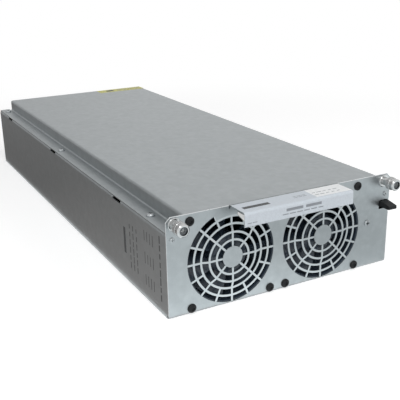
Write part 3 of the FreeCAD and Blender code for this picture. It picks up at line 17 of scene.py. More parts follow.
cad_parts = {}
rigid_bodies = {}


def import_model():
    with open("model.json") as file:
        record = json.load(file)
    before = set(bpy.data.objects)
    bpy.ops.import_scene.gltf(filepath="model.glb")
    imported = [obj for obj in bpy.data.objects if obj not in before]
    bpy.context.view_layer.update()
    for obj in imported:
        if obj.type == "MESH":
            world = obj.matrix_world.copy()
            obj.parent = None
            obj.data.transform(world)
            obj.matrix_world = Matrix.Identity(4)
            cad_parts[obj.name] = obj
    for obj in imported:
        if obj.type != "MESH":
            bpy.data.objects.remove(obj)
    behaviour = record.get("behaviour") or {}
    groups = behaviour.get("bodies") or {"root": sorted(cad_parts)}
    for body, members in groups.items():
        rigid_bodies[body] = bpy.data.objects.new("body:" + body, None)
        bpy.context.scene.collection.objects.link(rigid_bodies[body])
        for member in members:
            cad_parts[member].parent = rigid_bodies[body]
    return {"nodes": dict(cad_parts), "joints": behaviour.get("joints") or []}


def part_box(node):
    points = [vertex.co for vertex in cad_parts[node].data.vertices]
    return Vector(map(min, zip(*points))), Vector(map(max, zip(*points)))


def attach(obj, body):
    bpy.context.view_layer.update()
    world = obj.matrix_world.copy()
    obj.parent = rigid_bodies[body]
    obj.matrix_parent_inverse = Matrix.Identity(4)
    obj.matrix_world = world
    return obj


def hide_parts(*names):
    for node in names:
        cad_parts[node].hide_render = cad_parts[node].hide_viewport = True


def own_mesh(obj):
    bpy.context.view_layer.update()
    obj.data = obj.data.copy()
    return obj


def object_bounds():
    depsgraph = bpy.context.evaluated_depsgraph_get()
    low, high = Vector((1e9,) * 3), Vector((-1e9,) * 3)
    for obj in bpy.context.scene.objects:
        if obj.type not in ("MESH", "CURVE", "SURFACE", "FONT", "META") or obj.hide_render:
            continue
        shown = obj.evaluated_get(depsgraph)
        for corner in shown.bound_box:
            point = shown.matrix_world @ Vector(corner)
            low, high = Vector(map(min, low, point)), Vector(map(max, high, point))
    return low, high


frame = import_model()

MM = 0.001
nodes = frame["nodes"]
cad_low, cad_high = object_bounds()
print("frame:", len(nodes), "nodes, box in mm", [round(side / MM, 1) for side in cad_high - cad_low])

# %% [markdown]
# ## Colours and nodes
# A colour picker shows sRGB values, while Blender's sockets take linear light. One function turns a hex
# colour into the linear values. A second one adds a node, sets its properties and fills its inputs: a
# plain value is set on the input, and another node's output is linked to it. Both shader trees and
# Geometry Nodes trees are built with it. A Mix node has sockets of the same name for every kind of data, so
# its colour sockets are reached by their number.

# %% Helpers for colours and nodes
MIX_A, MIX_B, MIX_RESULT = 6, 7, 2


def linear(hex_colour):
    """The linear red, green, blue and alpha of an sRGB hex colour."""
    shares = [int(hex_colour[i:i + 2], 16) / 255 for i in (1, 3, 5)]
    return [*(s / 12.92 if s <= 0.04045 else ((s + 0.055) / 1.055) ** 2.4 for s in shares), 1.0]


def add_node(tree, kind, settings=None, inputs=None):
    """A new node with its properties set and its inputs filled with values or linked to outputs."""
    node = tree.nodes.new(kind)
    for name, value in (settings or {}).items():
        setattr(node, name, value)
    for name, value in (inputs or {}).items():
        if isinstance(value, bpy.types.NodeSocket):
            tree.links.new(value, node.inputs[name])
        else:
            node.inputs[name].default_value = value
    return node


def new_material(name, inputs):
    """A material with one Principled shader, returned with its tree and that shader."""
    material = bpy.data.materials.new(name)
    material.use_nodes = True
    tree = material.node_tree
    tree.nodes.clear()
    shader = add_node(tree, "ShaderNodeBsdfPrincipled", None, inputs)
    add_node(tree, "ShaderNodeOutputMaterial", None, {"Surface": shader.outputs["BSDF"]})
    return material, tree, shader


print("mid grey #808080 is", round(linear("#808080")[0], 3), "in linear light")

# %% [markdown]
# ## Galvanised steel
# The case is folded from hot-dip galvanised sheet. The zinc freezes into crystals called spangle, a few
# millimetres wide, each of which tilts the light a little differently, and the rollers leave a faint
# grain along the sheet. A smooth Voronoi texture gives each crystal its own shade and gloss without hard
# outlines, because the sheet was skin-passed after the bath. The mottle also drives a shallow bump. The
# metal is fully metallic with a middling roughness, so that it shows the bright studio as a soft grey.

# %% Galvanised steel
METAL, NON_METAL = 1.0, 0.0
SPANGLE = 5 * MM
# Marks of the rollers are finer than this, and are drawn as coarse as the picture needs.
GRAIN_ACROSS, GRAIN_ALONG = 1.2 * MM, 18 * MM
# The real relief is a few micrometres, too shallow to show in the picture, so it is drawn deeper.
SPANGLE_RELIEF = 0.05 * MM
DARK_ZINC, LIGHT_ZINC = "#A3A8AA", "#AFB4B6"
DARKEST_MOTTLE, LIGHTEST_MOTTLE = 0.2, 1.6
ZINC_ROUGHNESS = (0.38, 0.42)


def sheet_look(tree, place, shader):
    """Sets the gloss and the relief of zinc-coated sheet, and returns its mottled colour."""
    crystal = add_node(tree, "ShaderNodeTexVoronoi", {"feature": "SMOOTH_F1"}, {
        "Vector": place, "Scale": 1 / SPANGLE, "Smoothness": 1.0})
    shade = add_node(tree, "ShaderNodeSeparateColor", None, {"Color": crystal.outputs["Color"]})
    stretch = add_node(tree, "ShaderNodeMapping", None, {
        "Vector": place, "Scale": (1 / GRAIN_ACROSS, 1 / GRAIN_ALONG, 1 / GRAIN_ACROSS)})
    grain = add_node(tree, "ShaderNodeTexNoise", None, {"Vector": stretch.outputs["Vector"], "Scale": 1.0})
    mottle = add_node(tree, "ShaderNodeMath", {"operation": "ADD"}, {
        0: shade.outputs["Red"], 1: grain.outputs["Fac"]})
    tone = add_node(tree, "ShaderNodeMapRange", None, {
        "Value": mottle.outputs["Value"], "From Min": DARKEST_MOTTLE, "From Max": LIGHTEST_MOTTLE})
    colour = add_node(tree, "ShaderNodeMix", {"data_type": "RGBA"}, {
        "Factor": tone.outputs["Result"], MIX_A: linear(DARK_ZINC), MIX_B: linear(LIGHT_ZINC)})
    gloss = add_node(tree, "ShaderNodeMapRange", None, {
        "Value": shade.outputs["Green"], "To Min": ZINC_ROUGHNESS[0], "To Max": ZINC_ROUGHNESS[1]})
    tree.links.new(gloss.outputs["Result"], shader.inputs["Roughness"])
    bump = add_node(tree, "ShaderNodeBump", None, {
        "Height": mottle.outputs["Value"], "Distance": SPANGLE_RELIEF})
    tree.links.new(bump.outputs["Normal"], shader.inputs["Normal"])
    return colour.outputs[MIX_RESULT]


def galvanised_steel():
    """Zinc-coated sheet: a soft grey metal with a faint cloudiness and no sharp mirror image."""
    material, tree, shader = new_material("galvanised sheet steel", {"Metallic": METAL})
    colour = sheet_look(tree, add_node(tree, "ShaderNodeTexCoord").outputs["Object"], shader)
    tree.links.new(colour, shader.inputs["Base Color"])
    return material


finishes = {"galvanised_steel": galvanised_steel()}
print("spangle of", round(SPANGLE / MM, 1), "mm, grain of", round(GRAIN_ALONG / MM), "mm")

# %% [markdown]
# ## Punched guards
# The thin wires of the fan guards are painted brighter than the flat sheet beside them: a painted highlight,
# standing in for the light that their rounded edges catch. The material of the front sheet is the galvanised
# one with this brighter ring round the axis of each fan: the distance from the axis leads from the plain
# middle of the guard out to its rim. The outer row of openings stops below the lip, so the ring stops there
# too. Only the panel's own depth counts, not the lip before it.

# %% Punched guards
PANEL_FRONT = -293.5 * MM
GUARD_DEPTH = 2.5 * MM
GUARD_HUB, OUTER_ROW, GUARD_RIM = 10.6 * MM, 39 * MM, 44.4 * MM
RING_FADE = 0.8 * MM
LIP_SECTOR = math.cos(math.radians(22.5))
# Painted highlight: the paler tone of the guard wires.
WIRE_HIGHLIGHT_ZINC = "#C0C5C7"
fan_axes = [(low + high) / 2 for low, high in (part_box("fan_frame_left"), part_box("fan_frame_right"))]


def between(tree, value, inner, outer):
    """One where a length lies between two others, and zero elsewhere, with a short fade at each end."""
    past = add_node(tree, "ShaderNodeMapRange", None, {
        "Value": value, "From Min": inner, "From Max": inner + RING_FADE})
    before = add_node(tree, "ShaderNodeMapRange", None, {
        "Value": value, "From Min": outer + RING_FADE, "From Max": outer})
    both = add_node(tree, "ShaderNodeMath", {"operation": "MULTIPLY"}, {
        0: past.outputs["Result"], 1: before.outputs["Result"]})
    return both.outputs["Value"]


def ring_share(tree, place, axis):
    """One on the wires of the guard in front of a fan, and zero elsewhere."""
    offset = add_node(tree, "ShaderNodeVectorMath", {"operation": "SUBTRACT"}, {
        0: place, 1: (axis.x, 0, axis.z)})
    flat = add_node(tree, "ShaderNodeVectorMath", {"operation": "MULTIPLY"}, {
        0: offset.outputs["Vector"], 1: (1, 0, 1)}).outputs["Vector"]
    away = add_node(tree, "ShaderNodeVectorMath", {"operation": "LENGTH"}, {0: flat}).outputs["Value"]
    towards = add_node(tree, "ShaderNodeVectorMath", {"operation": "NORMALIZE"}, {0: flat})
    upward = add_node(tree, "ShaderNodeSeparateXYZ", None, {"Vector": towards.outputs["Vector"]})
    below_lip = add_node(tree, "ShaderNodeMath", {"operation": "LESS_THAN"}, {
        0: upward.outputs["Z"], 1: LIP_SECTOR})
    outer = add_node(tree, "ShaderNodeMath", {"operation": "MULTIPLY"}, {
        0: between(tree, away, OUTER_ROW, GUARD_RIM - RING_FADE), 1: below_lip.outputs["Value"]})
    share = add_node(tree, "ShaderNodeMath", {"operation": "ADD", "use_clamp": True}, {
        0: between(tree, away, GUARD_HUB, OUTER_ROW), 1: outer.outputs["Value"]})
    return share.outputs["Value"]


def punched_steel():
    """Zinc-coated sheet whose guard wires are painted paler, a painted highlight, before the dark of the
    fans.
    """
    material, tree, shader = new_material("galvanised sheet steel, punched", {"Metallic": METAL})
    place = add_node(tree, "ShaderNodeTexCoord").outputs["Object"]
    colour = sheet_look(tree, place, shader)
    left, right = [ring_share(tree, place, axis) for axis in fan_axes]
    rings = add_node(tree, "ShaderNodeMath", {"operation": "MAXIMUM"}, {0: left, 1: right})
    depth = add_node(tree, "ShaderNodeSeparateXYZ", None, {"Vector": place})
    near_panel = add_node(tree, "ShaderNodeMath", {"operation": "COMPARE"}, {
        0: depth.outputs["Y"], 1: PANEL_FRONT, 2: GUARD_DEPTH})
    wires = add_node(tree, "ShaderNodeMath", {"operation": "MULTIPLY"}, {
        0: rings.outputs["Value"], 1: near_panel.outputs["Value"]})
    # Painted highlight on the guard wires, mixed into the sheet's colour.
    wire_highlight = add_node(tree, "ShaderNodeMix", {"data_type": "RGBA"}, {
        "Factor": wires.outputs["Value"], MIX_A: colour, MIX_B: linear(WIRE_HIGHLIGHT_ZINC)})
    tree.links.new(wire_highlight.outputs[MIX_RESULT], shader.inputs["Base Color"])
    return material


finishes["punched_steel"] = punched_steel()
print("guards round", [[round(v / MM, 1) for v in axis] for axis in fan_axes])

# %% [markdown]
# ## Plated, moulded and turned finishes
# The other pieces are small, but none of them is one flat colour: plating clouds a little, a moulding shows
# where the melt flowed, and a label has the tooth of its stock. One function makes such a finish. A noise
# texture at the size of the real unevenness shifts the tone and the gloss by a few percent, and where the
# surface has a relief, the same noise drives a bump. Metals stay fully metallic.

# %% Plated, moulded and turned finishes
TONE_SPREAD = 0.12
GLOSS_SPREAD = 0.3


def uneven(name, tint, metallic, roughness, patch, relief=0.0, specular=0.5):
    """A finish whose tone and gloss vary over patches of a given size, with a relief of a given depth."""
    material, tree, shader = new_material(name, {"Metallic": metallic, "Specular IOR Level": specular})
    place = add_node(tree, "ShaderNodeTexCoord").outputs["Object"]
    noise = add_node(tree, "ShaderNodeTexNoise", None, {"Vector": place, "Scale": 1 / patch})
    cloud = noise.outputs["Fac"]
    dark, light = [[min(c * share, 1) for c in linear(tint)[:3]] + [1]
                   for share in (1 - TONE_SPREAD, 1 + TONE_SPREAD)]
    colour = add_node(tree, "ShaderNodeMix", {"data_type": "RGBA"}, {
        "Factor": cloud, MIX_A: dark, MIX_B: light})
    gloss = add_node(tree, "ShaderNodeMapRange", None, {
        "Value": cloud, "To Min": roughness * (1 - GLOSS_SPREAD), "To Max": roughness * (1 + GLOSS_SPREAD)})
    tree.links.new(colour.outputs[MIX_RESULT], shader.inputs["Base Color"])
    tree.links.new(gloss.outputs["Result"], shader.inputs["Roughness"])
    if relief:
        bump = add_node(tree, "ShaderNodeBump", None, {"Height": cloud, "Distance": relief})
        tree.links.new(bump.outputs["Normal"], shader.inputs["Normal"])
    return material


# Each line: name of the material, colour, metallic, roughness, size of its patches. The comment above it says
# what the eye gets.
FINISHES = {
    # A cool grey sparkle on the stamped screws.
    "zinc_fastener": ("bright zinc plate", "#AEB2B4", METAL, 0.32, 2 * MM),
    # Sharp bright and dark bands round the knobs.
    "nickel_plate": ("bright nickel plate", "#C0C1C1", METAL, 0.18, 3 * MM),
    # A dull grey wire.
    "spring_steel": ("drawn spring steel", "#8D9094", METAL, 0.35, 1 * MM),
    # Slate blades with a soft sheen behind the guards.
    "fan_plastic": ("moulded PBT, black", "#2E3843", NON_METAL, 0.25, 9 * MM),
    # A warm lacquered glow.
    "copper_winding": ("enamelled copper wire", "#B5703F", METAL, 0.35, 3 * MM),
    # A dull cream sheet.
    "insulating_film": ("insulating film", "#D8D3C4", NON_METAL, 0.45, 12 * MM),
    # Deep green with a varnished shine.
    "board_laminate": ("green solder mask", "#1F5A38", NON_METAL, 0.30, 6 * MM),
    # A yellow metal, brightly turned.
    "brass_standoff": ("turned brass", "#C9A55A", METAL, 0.30, 1 * MM),
    # A pale satin metal.
    "heatsink_aluminium": ("extruded aluminium", "#C2C4C6", METAL, 0.40, 5 * MM),
    # A dark blue skin with a plastic shine.
    "capacitor_sleeve": ("shrunk PVC sleeve, dark blue", "#1C2536", NON_METAL, 0.30, 7 * MM),
    # A charcoal ceramic without shine.
    "ferrite": ("sintered ferrite", "#38393B", NON_METAL, 0.60, 1 * MM),
}
for slot, look in FINISHES.items():
    finishes[slot] = uneven(*look)

# Black nylon from a spark-eroded mould: its matt grain takes most of the sheen off. The real grain is about
# 0.1 mm, which the picture can't show, so it is drawn coarser.
NYLON_GRAIN, NYLON_RELIEF, NYLON_SPECULAR = 0.9 * MM, 0.1 * MM, 0.3
finishes["black_plastic"] = uneven("moulded nylon, black", "#0E1012", NON_METAL, 0.55, NYLON_GRAIN,
                                   NYLON_RELIEF, NYLON_SPECULAR)
for piece in nodes.values():
    piece.data.materials[0] = finishes[piece.data.materials[0].name.split(".")[0]]
nodes["base_pan"].data.materials[0] = finishes["punched_steel"]
print(len(finishes), "finishes on", len(nodes), "nodes")

# %% [markdown]
# ## Wells of the thumb screws
# Each thumb screw has a well in the middle of its bright knob's face. The solid is one piece, and the faces
# of the well take a second, darker material: painted shade, where the recess lies in shade. The solid is
# one piece, so the head is not modelled again: the faces of the well take a second material. They are found
# by their distance from the screw's axis and from the panel.

# %% Wells of the thumb screws
SCREW_SIDE, SCREW_HEIGHT = 114.8 * MM, 88 * MM
WELL_RADIUS = 3.95 * MM
WELL_FLOOR = PANEL_FRONT - 16.7 * MM
# Painted shade: a darker, faintly shining metal on the faces of the well.
well_shade = uneven("blackened steel", "#5A5C5E", METAL, 0.28, 1 * MM)
for name, axis_x in (("captive_screw_left", -SCREW_SIDE), ("captive_screw_right", SCREW_SIDE)):
    knob = nodes[name].data
    knob.materials.append(well_shade)
    dark = 0
    for face in knob.polygons:
        from_axis = Vector((face.center.x - axis_x, face.center.z - SCREW_HEIGHT)).length
        if from_axis < WELL_RADIUS and face.center.y < WELL_FLOOR:
            face.material_index = 1
            dark += 1
    print(name, dark, "dark faces")

# %% [markdown]
# ## Sheared edges
# The panel's cut edges show as a bright line where they catch the light. The CAD model rounds that edge, and
# its small faces take a brighter material of their own, a painted highlight. They are the faces within the
# panel's thickness that look sideways or upwards.

# %% Sheared edges
SHEET = 1.0 * MM
EDGE_FOOT = 3 * MM
LOOKS_OUT = 0.3
# Painted highlight: a thin bright outline of the panel, where its edges catch the light.
edge_highlight = uneven("sheared steel edge", "#DCDFE0", METAL, 0.3, 2 * MM)
pan = nodes["base_pan"].data
pan.materials.append(edge_highlight)
pan_low, pan_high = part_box("base_pan")
edge_faces = 0
for face in pan.polygons:
    at, looks = face.center, face.normal
    in_panel = abs(at.y - PANEL_FRONT - SHEET / 2) < SHEET / 2 and at.z > pan_low.z + EDGE_FOOT
    at_side = min(at.x - pan_low.x, pan_high.x - at.x) < SHEET and abs(looks.x) > LOOKS_OUT
    if in_panel and (at_side or (looks.z > LOOKS_OUT and at.z > SCREW_HEIGHT)):
        face.material_index = 1
        edge_faces += 1
print(edge_faces, "bright faces round the panel")

# %% [markdown]
# ## Springs
# A coil spring gets shorter when its screw or its lever is pressed, which a rigid solid can't show. The
# record says which springs give way, with which joint and which end stays on its seat. Each one is copied,
# the loose triangles of the copy are joined, and the copy takes the solid's place.

# %% Springs
WELD = 0.001 * MM


def pressed_spring(joint, soft):
    """A joined copy of a CAD spring that takes the solid's place on the joint's parent."""
    name = soft["node"]
    along = "xyz".index(soft["mode"][-1])
    axis, seat = Vector(), Vector()
    axis[along] = 1
    seat[along] = soft[f"fixed_end_{soft['mode'][-1]}_m"]
    form = bmesh.new()
    form.from_mesh(nodes[name].data)
    bmesh.ops.remove_doubles(form, verts=form.verts, dist=WELD)
    mesh = nodes[name].data.copy()
    form.to_mesh(mesh)
    form.free()
    mesh.shade_smooth()
    coil = bpy.data.objects.new(name + "_coil", mesh)
    bpy.context.scene.collection.objects.link(coil)
    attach(coil, joint["parent"])
    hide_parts(name)
    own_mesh(coil)


for joint in frame["joints"]:
    for soft in joint.get("deforming_nodes", []):
        pressed_spring(joint, soft)

# %% [markdown]
# ## Thin sheets
# Labels and stickers are coated stock, a few hundredths of a millimetre thick, that follows the metal below
# it. A plane would have no thickness, and a Solidify modifier would round a bend unevenly. So a sheet is
# drawn as a closed ring of points in section, the metal's line below and the same line moved out above, and
# stretched from one side to the other.

# %% Thin sheets
LABEL_THICKNESS = 0.06 * MM


def thin_sheet(name, section, left, right, material):
    """A sheet that follows (y, z) points, seen from its outside with the points running forwards."""
    low = [Vector((0, *p)) for p in section]
    steps = [(b - a).normalized() for a, b in zip(low, low[1:])]
    outward = []
    for i in range(len(low)):
        step = steps[max(i - 1, 0)] + steps[min(i, len(steps) - 1)]
        outward.append(Vector((0, step.z, -step.y)).normalized())
    high = [p + n * LABEL_THICKNESS for p, n in zip(low, outward)]
    ring = low + high[::-1]
    count = len(ring)
    points = [Vector((x, p.y, p.z)) for x in (left, right) for p in ring]
    faces = [(i, (i + 1) % count, (i + 1) % count + count, i + count) for i in range(count)]
    half = count // 2
    for i in range(half - 1):
        cap = (i, i + 1, count - 2 - i, count - 1 - i)
        faces.append(cap[::-1])
        faces.append(tuple(c + count for c in cap))
    mesh = bpy.data.meshes.new(name)
    mesh.from_pydata(points, [], faces)
    mesh.materials.append(material)
    mesh.validate()
    sheet = bpy.data.objects.new(name, mesh)
    bpy.context.scene.collection.objects.link(sheet)
    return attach(sheet, "chassis")


# The tooth of the stock is finer than this, and is drawn as coarse as the picture needs.
STOCK_TOOTH, STOCK_RELIEF, STOCK_ROUGHNESS = 1.5 * MM, 0.02 * MM, 0.5


def label_stock(name, colour):
    """Coated label stock: pale and slightly satin, with the faint tooth of its fibres."""
    return uneven(name, colour, NON_METAL, STOCK_ROUGHNESS, STOCK_TOOTH, STOCK_RELIEF)


print("sheets of", round(LABEL_THICKNESS / MM, 2), "mm")

# %% [markdown]
# ## Label on the handle
# A white polyester label wraps the handle lip from its top plate over the bend to its front plate. Its
# section is the lip's own: a straight line, a quarter of a circle in short steps, and a straight line down.
# A margin keeps it clear of the metal's edges.

# %% Label on the handle
LIP_LEFT, LIP_RIGHT = -60.4 * MM, 56.7 * MM
LIP_DROP = 13 * MM
LIP_BEND = 2.5 * MM
LABEL_MARGIN = 0.25 * MM
LABEL_BACK = 23.2 * MM
lip_front, lip_top = pan_low.y, pan_high.z
label_left, label_right = LIP_LEFT + LABEL_MARGIN, LIP_RIGHT - LABEL_MARGIN
label_rear = lip_front + LABEL_BACK
BEND_STEPS = 8
bend_middle = Vector((0, lip_front + LIP_BEND, lip_top - LIP_BEND))
wrap = [(label_rear, lip_top)]
for i in range(BEND_STEPS + 1):
    turn = math.pi / 2 * (1 + i / BEND_STEPS)
    wrap.append((bend_middle.y + LIP_BEND * math.cos(turn), bend_middle.z + LIP_BEND * math.sin(turn)))
wrap.append((lip_front, lip_top - LIP_DROP + LABEL_MARGIN))
label = thin_sheet("handle_label", wrap, label_left, label_right,
                   label_stock("white polyester label", "#BFC6CD"))
print("label of", len(label.data.polygons), "faces round the lip")

# %% [markdown]
# ## Ends of the label
# The lip's two ends are closed by small gussets, and the label is folded over them. Each end is a flat
# shape with a rounded rear, drawn from the side and given the label's thickness. The ends take a much
# lighter copy of the label's stock: painted light, standing in for the light that falls on the gussets.

# %% Ends of the label
GUSSET_TOP, GUSSET_FRONT, GUSSET_REAR = 1.6 * MM, 5.4 * MM, 2.9 * MM
GUSSET_LENGTH = 11.2 * MM
# Painted light: a much lighter copy of the label's stock for the lit ends.
lit_label_stock = label_stock("white polyester label, end", "#F4F4F2")


def label_end(name, x, facing):
    """A flat piece of label on one gusset; facing is -1 to the left and 1 to the right."""
    top = lip_top - GUSSET_TOP
    radius = GUSSET_REAR / 2
    rear = lip_front + GUSSET_LENGTH - radius
    outline = [(lip_front + LABEL_MARGIN, top), (lip_front + LABEL_MARGIN, top - GUSSET_FRONT)]
    for i in range(BEND_STEPS + 1):
        turn = -math.pi / 2 + math.pi * i / BEND_STEPS
        outline.append((rear + radius * math.cos(turn), top - radius + radius * math.sin(turn)))
    count = len(outline)
    points = [(x + shift, y, z) for shift in (0, facing * LABEL_THICKNESS) for y, z in outline]
    ring = list(range(count))
    faces = [ring, [i + count for i in reversed(ring)]]
    faces += [(i, i + count, (i + 1) % count + count, (i + 1) % count) for i in ring]
    if facing < 0:
        faces = [list(reversed(face)) for face in faces]
    mesh = bpy.data.meshes.new(name)
    mesh.from_pydata(points, [], faces)
    mesh.materials.append(lit_label_stock)
    piece = bpy.data.objects.new(name, mesh)
    bpy.context.scene.collection.objects.link(piece)
    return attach(piece, "chassis")


ends = [label_end("label_end_left", LIP_LEFT, -1), label_end("label_end_right", LIP_RIGHT, 1)]
print(len(ends), "ends on the gussets")

# %% [markdown]
# ## Stickers
# Two more thin sheets lie flat: a white paper sticker on the right end of the handle label, and a yellow
# vinyl one at the rear edge of the raised cover, near its right side. The function for thin sheets serves
# both, since a flat sheet is a section of two points.

# %% Stickers
STICKER_WIDTH = 39 * MM
label_face = lip_top + LABEL_THICKNESS
thin_sheet("serial_sticker", [(label_rear - LABEL_MARGIN, label_face), (lip_front + LIP_BEND, label_face)],
           label_right - STICKER_WIDTH, label_right, label_stock("white paper sticker", "#E2E4E5"))

YELLOW_WIDTH, YELLOW_DEPTH = 75 * MM, 20 * MM
REAR_RECESS = 6.5 * MM
LEDGE_WIDTH = 16.5 * MM
cover_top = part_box("top_cover")[1].z
raised_rear = cad_high.y - REAR_RECESS - LABEL_MARGIN
raised_right = cad_high.x - LEDGE_WIDTH
thin_sheet("yellow_sticker", [(raised_rear, cover_top), (raised_rear - YELLOW_DEPTH, cover_top)],
           raised_right - YELLOW_WIDTH, raised_right - 2 * LABEL_MARGIN,
           label_stock("yellow vinyl sticker", "#C4C06C"))
print("stickers of", round(STICKER_WIDTH / MM), "and", round(YELLOW_WIDTH / MM), "mm")

# %% [markdown]
# ## Rows of print
# Small print seen from a step away is rows of grey bars of uneven length. A picture could show it, but bars
# of real thickness stay sharp in every view. The tree lays out a grid of points, puts a flat block on each,
# and gives every block its own length from a seeded random value. The sizes are named inputs, so that one
# tree serves the label, the stickers and the wall. A Random Value node has sockets of the same name, too, so
# they are reached by their numbers.

# %% A tree that grows rows of print
RANDOM_MIN, RANDOM_MAX, RANDOM_RESULT = 2, 3, 1


def print_tree():
    """Rows of flat bars round the origin, with x along the row and z away from the surface."""
    tree = bpy.data.node_groups.new("rows of print", "GeometryNodeTree")
    for name in ("Rows", "Words", "Seed"):
        tree.interface.new_socket(name, in_out="INPUT", socket_type="NodeSocketInt")
    for name in ("Row Pitch", "Word Pitch", "Bar Height", "Shortest", "Longest", "Thickness"):
        tree.interface.new_socket(name, in_out="INPUT", socket_type="NodeSocketFloat")
    tree.interface.new_socket("Ink", in_out="INPUT", socket_type="NodeSocketMaterial")
    tree.interface.new_socket("Geometry", in_out="OUTPUT", socket_type="NodeSocketGeometry")
    given = add_node(tree, "NodeGroupInput").outputs
    spans = {}
    for count, pitch in (("Words", "Word Pitch"), ("Rows", "Row Pitch")):
        gaps = add_node(tree, "ShaderNodeMath", {"operation": "SUBTRACT"}, {0: given[count], 1: 1.0})
        spans[count] = add_node(tree, "ShaderNodeMath", {"operation": "MULTIPLY"}, {
            0: gaps.outputs["Value"], 1: given[pitch]}).outputs["Value"]
    grid = add_node(tree, "GeometryNodeMeshGrid", None, {
        "Size X": spans["Words"], "Size Y": spans["Rows"],
        "Vertices X": given["Words"], "Vertices Y": given["Rows"]})
    length = add_node(tree, "FunctionNodeRandomValue", {"data_type": "FLOAT"}, {
        RANDOM_MIN: given["Shortest"], RANDOM_MAX: given["Longest"], "Seed": given["Seed"]})
    block_size = add_node(tree, "ShaderNodeCombineXYZ", None, {
        "X": length.outputs[RANDOM_RESULT], "Y": given["Bar Height"], "Z": given["Thickness"]})
    block = add_node(tree, "GeometryNodeMeshCube", None, {"Size": (1, 1, 1)})
    bars = add_node(tree, "GeometryNodeInstanceOnPoints", None, {
        "Points": grid.outputs["Mesh"], "Instance": block.outputs["Mesh"],
        "Scale": block_size.outputs["Vector"]})
    solid = add_node(tree, "GeometryNodeRealizeInstances", None, {"Geometry": bars.outputs["Instances"]})
    inked = add_node(tree, "GeometryNodeSetMaterial", None, {
        "Geometry": solid.outputs["Geometry"], "Material": given["Ink"]})
    add_node(tree, "NodeGroupOutput", None, {"Geometry": inked.outputs["Geometry"]})
    return tree


def grown(name, tree, values):
    """The object whose plain mesh the tree makes from the named values."""
    piece = bpy.data.objects.new(name, bpy.data.meshes.new(name))
    bpy.context.scene.collection.objects.link(piece)
    modifier = piece.modifiers.new(name, "NODES")
    modifier.node_group = tree
    for item in tree.interface.items_tree:
        if item.name in values:
            modifier[item.identifier] = values[item.name]
    evaluated = piece.evaluated_get(bpy.context.evaluated_depsgraph_get())
    mesh = bpy.data.meshes.new_from_object(evaluated)
    piece.modifiers.remove(modifier)
    piece.data = mesh
    return piece


rows_of_print = print_tree()
print("tree with", len(rows_of_print.nodes), "nodes")

# %% [markdown]
# ## Print on the surfaces
# The handle label carries two long bars with a line of short ones below them, its top has a dark band, and
# the wall is printed in columns that run from below upwards. Every block is grown flat round the origin, then
# its mesh is turned to face its surface and moved there, so that the object itself sits unturned at the
# origin. Ink is matt and slightly uneven, and stands a fiftieth of a millimetre proud.

# %% Print on the surfaces
INK_THICKNESS, INK_PATCH, INK_ROUGHNESS = 0.02 * MM, 2 * MM, 0.6
FACING_UP = (Vector((1, 0, 0)), Vector((0, 1, 0)))
FACING_FRONT = (Vector((1, 0, 0)), Vector((0, 0, 1)))
FACING_LEFT = (Vector((0, 0, 1)), Vector((0, 1, 0)))
# Small print that the eye takes for grey, and large print that stays dark.
grey_ink = uneven("grey printing ink", "#83888E", NON_METAL, INK_ROUGHNESS, INK_PATCH)
dark_ink = uneven("dark printing ink", "#46484A", NON_METAL, INK_ROUGHNESS, INK_PATCH)


def printed(name, surface, middle_mm, ink, grid, pitches, bar):
    """A block of print: rows and words, their spacings, and a bar's height and lengths in millimetres."""
    along, up = surface
    out = along.cross(up)
    piece = grown(name, rows_of_print, {
        "Rows": grid[0], "Words": grid[1], "Seed": len(name),
        "Row Pitch": pitches[0] * MM, "Word Pitch": pitches[1] * MM,
        "Bar Height": bar[0] * MM, "Shortest": bar[1] * MM, "Longest": bar[2] * MM,
        "Thickness": INK_THICKNESS, "Ink": ink})
    at = Vector(middle_mm) * MM + out * INK_THICKNESS / 2
    turn = Matrix((along, up, out)).transposed().to_4x4()
    piece.data.transform(Matrix.Translation(at) @ turn)
    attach(piece, "chassis")
    return piece


front_mm = (lip_front - LABEL_THICKNESS) / MM
top_mm = label_face / MM
sticker_mm = (label_face + LABEL_THICKNESS) / MM
wall_mm = cad_low.x / MM
cover_mm = (cover_top + LABEL_THICKNESS) / MM
yellow_left_mm = (raised_right - YELLOW_WIDTH) / MM
yellow_row_mm = (raised_rear - YELLOW_DEPTH / 2) / MM
# Each line: name, surface, middle, ink, (rows, words), (row pitch, word pitch), (height, shortest, longest).
blocks = [printed(*block) for block in (
    ("label_title", FACING_FRONT, (1.7, front_mm, 90), grey_ink, (1, 2), (0, 20.5), (2.6, 16, 19)),
    ("label_line", FACING_FRONT, (0.8, front_mm, 86.2), grey_ink, (1, 6), (0, 7.6), (0.9, 4.5, 7)),
    ("label_note", FACING_FRONT, (-52.5, front_mm, 85.2), grey_ink, (1, 2), (0, 5.4), (0.6, 4, 5)),
    ("label_band", FACING_UP, (-41.5, -306, top_mm), dark_ink, (1, 1), (0, 0), (5, 27, 27)),
    ("label_small", FACING_UP, (5, -305, top_mm), grey_ink, (2, 3), (2.6, 4.8), (0.9, 2.5, 4.4)),
    ("sticker_lines", FACING_UP, (33, -307, sticker_mm), grey_ink, (2, 5), (5.5, 6), (1, 3, 5.6)),
    ("wall_band", FACING_LEFT, (wall_mm, -199.1, 42.5), dark_ink, (1, 1), (0, 0), (5, 27, 27)),
    ("wall_lines", FACING_LEFT, (wall_mm, -220.4, 41), dark_ink, (3, 6), (8, 8), (1.6, 4, 7.4)),
    ("wall_small", FACING_LEFT, (wall_mm, -256, 42), dark_ink, (4, 3), (6, 22), (1.2, 8, 12)),
    ("wall_edge", FACING_LEFT, (wall_mm, -279.7, 43), dark_ink, (1, 8), (0, 8), (2.2, 5, 7.6)),
    ("yellow_band", FACING_UP, (yellow_left_mm + 19, yellow_row_mm, cover_mm), dark_ink,
     (1, 1), (0, 0), (9, 12, 12)),
    ("yellow_lines", FACING_UP, (yellow_left_mm + 50, yellow_row_mm, cover_mm), grey_ink,
     (2, 4), (7, 10), (2, 6, 9)),
)]
FACES_PER_BAR = 6
print(len(blocks), "blocks,", sum(len(b.data.polygons) for b in blocks) // FACES_PER_BAR, "bars of print")

